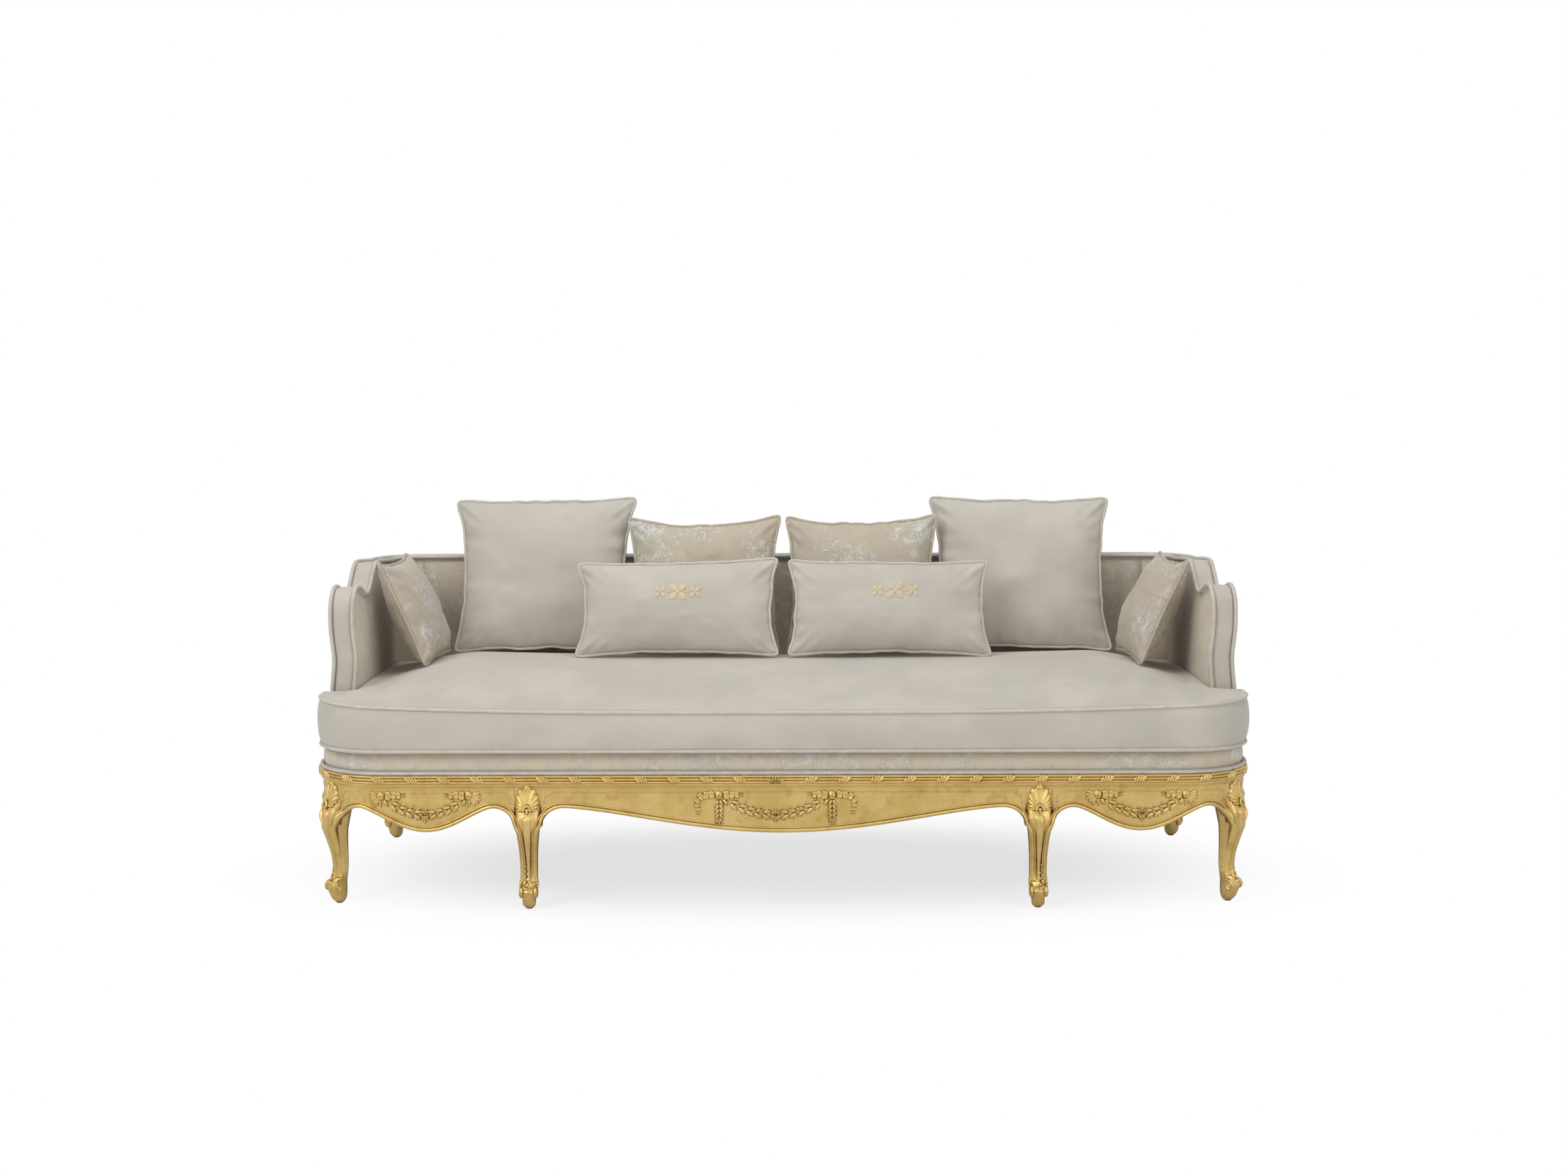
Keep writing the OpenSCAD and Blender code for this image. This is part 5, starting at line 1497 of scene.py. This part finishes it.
def gathers(shares, front_of, w, h, seed):
    """Height of the folds that run in from the seams and the corners, and of broad soft dents."""
    rise = np.zeros(len(shares))
    for k, ((u, v), face) in enumerate(zip(shares, front_of)):
        from_side, from_top = (1 - abs(u)) * w / 2, (1 - abs(v)) * h / 2
        fold = 0.0
        for gap, along, edge in ((from_side, v * h / 2, 3.0 if u > 0 else 5.0),
                                 (from_top, u * w / 2, 7.0 if v > 0 else 9.0)):
            wave = ripple(along * 34, gap * 4 + edge, seed + face)
            fold += 0.0090 * wave * math.exp(-gap / 0.042) * (1 - math.exp(-gap / 0.007))
        reach = math.hypot(from_side, from_top)
        across = (from_side - from_top) / 1.414
        ray = math.cos(2 * math.pi * across / 0.034) * math.exp(-(reach / 0.070) ** 2)
        ray *= 1 - math.exp(-reach / 0.012)
        dent = ripple(u * w * 5.5, v * h * 5.5, seed * 2.3 + face)
        rise[k] = fold + 0.0040 * ray + 0.0060 * dent * (1 - u ** 4) * (1 - v ** 4)
    return rise


def fit_inside(points, node, margin):
    """Pulls points that stand further than the margin outside a node's solid back to it."""
    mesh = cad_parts[node].data
    tree = BVHTree.FromPolygons([v.co.copy() for v in mesh.vertices],
                                [tuple(p.vertices) for p in mesh.polygons])
    out = points.copy()
    for k, p in enumerate(points):
        near, normal, _, gap = tree.find_nearest(Vector(p))
        if (Vector(p) - near).dot(normal) > 0 and gap > margin:
            out[k] = near + (Vector(p) - near) * (margin / gap)
    return out


def make_pillow(kind, side, seed, draws, corners):
    name = kind + "_pillow_" + side
    width, height, thick, finish, lean, yaw = PILLOW_KINDS[kind]
    mirrored = side == "left" and yaw
    half_thick = thick / 2 - 0.003
    cord_r = sizes().piping
    w, h = width - 2 * cord_r, height - 2 * cord_r
    shares, front_of, faces, rim = pillow_sheets(w, h, SHEET_STEP)
    x, z = seam_shape(shares, w, h, draws, corners, seed)
    full = np.clip((1 - shares[:, 0] ** 2) * (1 - shares[:, 1] ** 2), 0, 1)
    crease = np.array([ripple(u * 5 + seed, v * 5, face * 3.0) for (u, v), face in zip(shares, front_of)])
    start = np.stack((x, front_of * (0.030 * full ** 0.5 + 0.004 * crease * full), z), axis=1)
    flat = np.stack((shares[:, 0] * w / 2, front_of * 0.0005, shares[:, 1] * h / 2), axis=1)
    shape = inflate(start, flat, faces, rim)
    near, far = shape[:, 1].min(), shape[:, 1].max()
    shape[:, 1] = np.where(shape[:, 1] < 0, shape[:, 1] / -near, shape[:, 1] / far) * half_thick
    shape[:, 1] += front_of * gathers(shares, front_of, w, h, seed)
    turn = Matrix.Rotation(-math.radians(yaw), 3, "Z") @ Matrix.Rotation(-math.radians(lean), 3, "X")
    world = shape @ np.array(turn).T
    if mirrored:
        world[:, 0] *= -1
        faces = [f[::-1] for f in faces]
    low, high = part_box(name)
    world = fit_inside(world + np.array((low + high) / 2), name, COVER_SLACK)
    mesh = bpy.data.meshes.new(name)
    mesh.from_pydata(world.tolist(), [], faces)
    mesh.update()
    piece = finished(name + "_cover", mesh, finish, name, name)
    soften = piece.modifiers.new("soften", "SUBSURF")
    soften.levels = 1
    soften.render_levels = 1
    line = world[rim]
    for _ in range(2):
        line = (np.roll(line, 1, axis=0) + 2 * line + np.roll(line, -1, axis=0)) / 4
    form = Form()
    tube(form, line, cord_r, 8, closed=True)
    finished(name + "_piping", form.mesh(name + "_piping"), "cord" if finish == "velvet" else "toile", name)
    if name in MOTIF_AT:
        x, z = MOTIF_AT[name]
        middle = Vector((low + high) / 2) + turn @ Vector((x, 0.0, z))
        make_motif(name + "_motif", name, BVHTree.FromPolygons(world.tolist(), faces), middle, turn)


def make_motif(name, body, tree, middle, turn):
    """Row of three stitched quatrefoils joined by short bars, laid on a pillow's face."""
    out = turn @ Vector((0.0, -1.0, 0.0))

    def place(x, z, h):
        at = tree.ray_cast(middle + turn @ Vector((x, 0.0, z)) + 0.3 * out, -out)[0]
        return tuple(at + out * (0.0007 + h))

    form = Form()
    for across, size in ((0.0, 1.45), (-0.047, 0.95), (0.047, 0.95)):
        for angle in (45, 135, 225, 315):
            grid = leaf(0.0215 * size, 0.0150 * size, 0.0015, rib=0.30, blunt=1.15)
            form.relief(grid, turned(place, across, 0.0, angle))
        dome(form, 0.0046 * size, 0.0026, turned(place, across, 0.0, 0), sides=14, rings=5)
    for side in (-1, 1):
        form.relief(leaf(0.0180, 0.0036, 0.0011, rib=0.0), turned(place, side * 0.0165, 0.0, -90 * side))
    finished(name, form.mesh(name), "thread", body)


# Stage

# Camera: place, pitch down and roll in degrees, and lens in millimetres
EYE_AT = (0.004, -5.439, 1.2565)
EYE_DOWN = 5.283
EYE_ROLL = 0.146
LENS = 47.43
FLOOR_REACH = 40.0
ROOM_LIGHT = 0.46

# Name, place, aim, size and power
LAMPS = (("key", (-3.2, -3.6, 3.4), (0, 0, 0.4), 2.6, 100),
         ("fill", (3.4, -4.2, 2.2), (0, 0, 0.5), 3.0, 46),
         ("top", (0.0, -0.6, 4.2), (0, 0, 0.4), 3.4, 60))


def make_world():
    """Soft light from all round, which eyes and reflections see as white."""
    world = bpy.data.worlds.new("studio")
    world.use_nodes = True
    bpy.context.scene.world = world
    sky = Nodes(world.node_tree)
    sky.nodes.clear()
    lit, seen = (sky.add("Background", {"Color": (1.0, 1.0, 1.0), "Strength": power}).outputs[0]
                 for power in (ROOM_LIGHT, 1.0))
    rays = sky.add("LightPath", {}).outputs
    direct = sky.sum("MAXIMUM", rays["Is Camera Ray"], rays["Is Transmission Ray"])
    direct = sky.sum("MAXIMUM", direct, rays["Is Glossy Ray"])
    sky.add("OutputWorld", {0: sky.add("MixShader", {0: direct, 1: lit, 2: seen}).outputs[0]})


def paper_finish():
    """Pale paper that fades to white away from the sofa."""
    f = Finish("pale_floor", {"Base Color": (0.93, 0.93, 0.93), "Roughness": 0.9,
                              "Specular IOR Level": 0.1})
    away = f.add("VectorMath", {0: f.stretch(0.42, 0.75, 1.0)}, operation="LENGTH").outputs["Value"]
    rays = f.add("LightPath", {}).outputs
    share = f.sum("MULTIPLY", f.between(away, 0.26, 0.66, 0.72), rays["Is Camera Ray"])
    glow = f.add("Emission", {}).outputs[0]
    blend = f.add("MixShader", {0: share, 1: f.shader.outputs[0], 2: glow})
    f.links.new(blend.outputs[0], f.nodes["Material Output"].inputs["Surface"])
    return f.material


def make_stage():
    scene = bpy.context.scene
    scene.view_settings.view_transform = "Standard"
    make_world()

    r = FLOOR_REACH
    mesh = bpy.data.meshes.new("floor")
    mesh.from_pydata([(-r, -r, 0), (r, -r, 0), (r, r, 0), (-r, r, 0)], [], [(0, 1, 2, 3)])
    mesh.materials.append(paper_finish())
    floor = bpy.data.objects.new("studio_floor", mesh)
    scene.collection.objects.link(floor)

    for name, spot, aim, size, power in LAMPS:
        lamp = bpy.data.lights.new(name, "AREA")
        lamp.shape = "DISK"
        lamp.size = size
        lamp.energy = power
        item = bpy.data.objects.new(name + "_light", lamp)
        item.location = spot
        item.rotation_euler = (Vector(aim) - Vector(spot)).to_track_quat("-Z", "Y").to_euler()
        scene.collection.objects.link(item)

    lens = bpy.data.cameras.new("camera")
    lens.sensor_width = 36.0
    lens.lens = LENS
    eye = bpy.data.objects.new("camera", lens)
    eye.location = EYE_AT
    eye.rotation_euler = (math.radians(90 - EYE_DOWN), math.radians(EYE_ROLL), 0.0)
    scene.collection.objects.link(eye)
    scene.camera = eye


# Operators

class SOFA_OT_frame(bpy.types.Operator):
    """Gild the rails and mouldings, and finish the hidden frame"""
    bl_idname = "sofa.frame"
    bl_label = "Frame"

    def execute(self, context):
        make_bare_nodes()
        make_apron_beads()
        return {"FINISHED"}


class SOFA_OT_wraps(bpy.types.Operator):
    """Carve the leaf wraps over the reeded moulding"""
    bl_idname = "sofa.wraps"
    bl_label = "Moulding wraps"

    def execute(self, context):
        make_wraps()
        return {"FINISHED"}


class SOFA_OT_legs(bpy.types.Operator):
    """Carve the six cabriole legs"""
    bl_idname = "sofa.legs"
    bl_label = "Legs"

    def execute(self, context):
        make_legs()
        return {"FINISHED"}


class SOFA_OT_garlands(bpy.types.Operator):
    """Carve the three laurel garlands"""
    bl_idname = "sofa.garlands"
    bl_label = "Garlands"

    def execute(self, context):
        make_garlands()
        return {"FINISHED"}


class SOFA_OT_shell(bpy.types.Operator):
    """Cover the arms and back, and sew the crest band and its piping"""
    bl_idname = "sofa.shell"
    bl_label = "Arms and back"

    def execute(self, context):
        make_shell()
        return {"FINISHED"}


class SOFA_OT_deck(bpy.types.Operator):
    """Cover the deck and pipe its foot"""
    bl_idname = "sofa.deck"
    bl_label = "Deck"

    def execute(self, context):
        make_deck()
        return {"FINISHED"}


class SOFA_OT_seat(bpy.types.Operator):
    """Make the long seat cushion"""
    bl_idname = "sofa.seat"
    bl_label = "Seat cushion"

    def execute(self, context):
        make_seat()
        return {"FINISHED"}


class SOFA_OT_pillows(bpy.types.Operator):
    """Sew and fill the eight pillows"""
    bl_idname = "sofa.pillows"
    bl_label = "Pillows"

    def execute(self, context):
        for row in PILLOWS:
            make_pillow(*row)
        return {"FINISHED"}


class SOFA_OT_stage(bpy.types.Operator):
    """Set the floor, the soft lights and the camera"""
    bl_idname = "sofa.stage"
    bl_label = "Stage"

    def execute(self, context):
        make_stage()
        return {"FINISHED"}


OPERATORS = (SOFA_OT_frame, SOFA_OT_wraps, SOFA_OT_legs, SOFA_OT_garlands, SOFA_OT_shell, SOFA_OT_deck,
             SOFA_OT_seat, SOFA_OT_pillows, SOFA_OT_stage)


class SOFA_PT_panel(bpy.types.Panel):
    """Sizes, colours and pieces of the sofa"""
    bl_idname = "SOFA_PT_panel"
    bl_label = "Cabriole sofa"
    bl_space_type = "VIEW_3D"
    bl_region_type = "UI"
    bl_category = "Sofa"

    def draw(self, context):
        for group in (context.scene.sofa_sizes, context.scene.sofa_colours):
            box = self.layout.box()
            for key in group.__annotations__:
                box.prop(group, key)
        for operator in OPERATORS:
            self.layout.operator(operator.bl_idname)


CLASSES = (SofaColours, SofaSizes, *OPERATORS, SOFA_PT_panel)


def register():
    for item in CLASSES:
        bpy.utils.register_class(item)
    bpy.types.Scene.sofa_colours = bpy.props.PointerProperty(type=SofaColours)
    bpy.types.Scene.sofa_sizes = bpy.props.PointerProperty(type=SofaSizes)


def unregister():
    del bpy.types.Scene.sofa_sizes
    del bpy.types.Scene.sofa_colours
    for item in reversed(CLASSES):
        bpy.utils.unregister_class(item)


def main():
    register()
    bpy.ops.sofa.frame()
    bpy.ops.sofa.wraps()
    bpy.ops.sofa.legs()
    bpy.ops.sofa.garlands()
    bpy.ops.sofa.shell()
    bpy.ops.sofa.deck()
    bpy.ops.sofa.seat()
    bpy.ops.sofa.pillows()
    bpy.ops.sofa.stage()


if __name__ == "__main__":
    main()
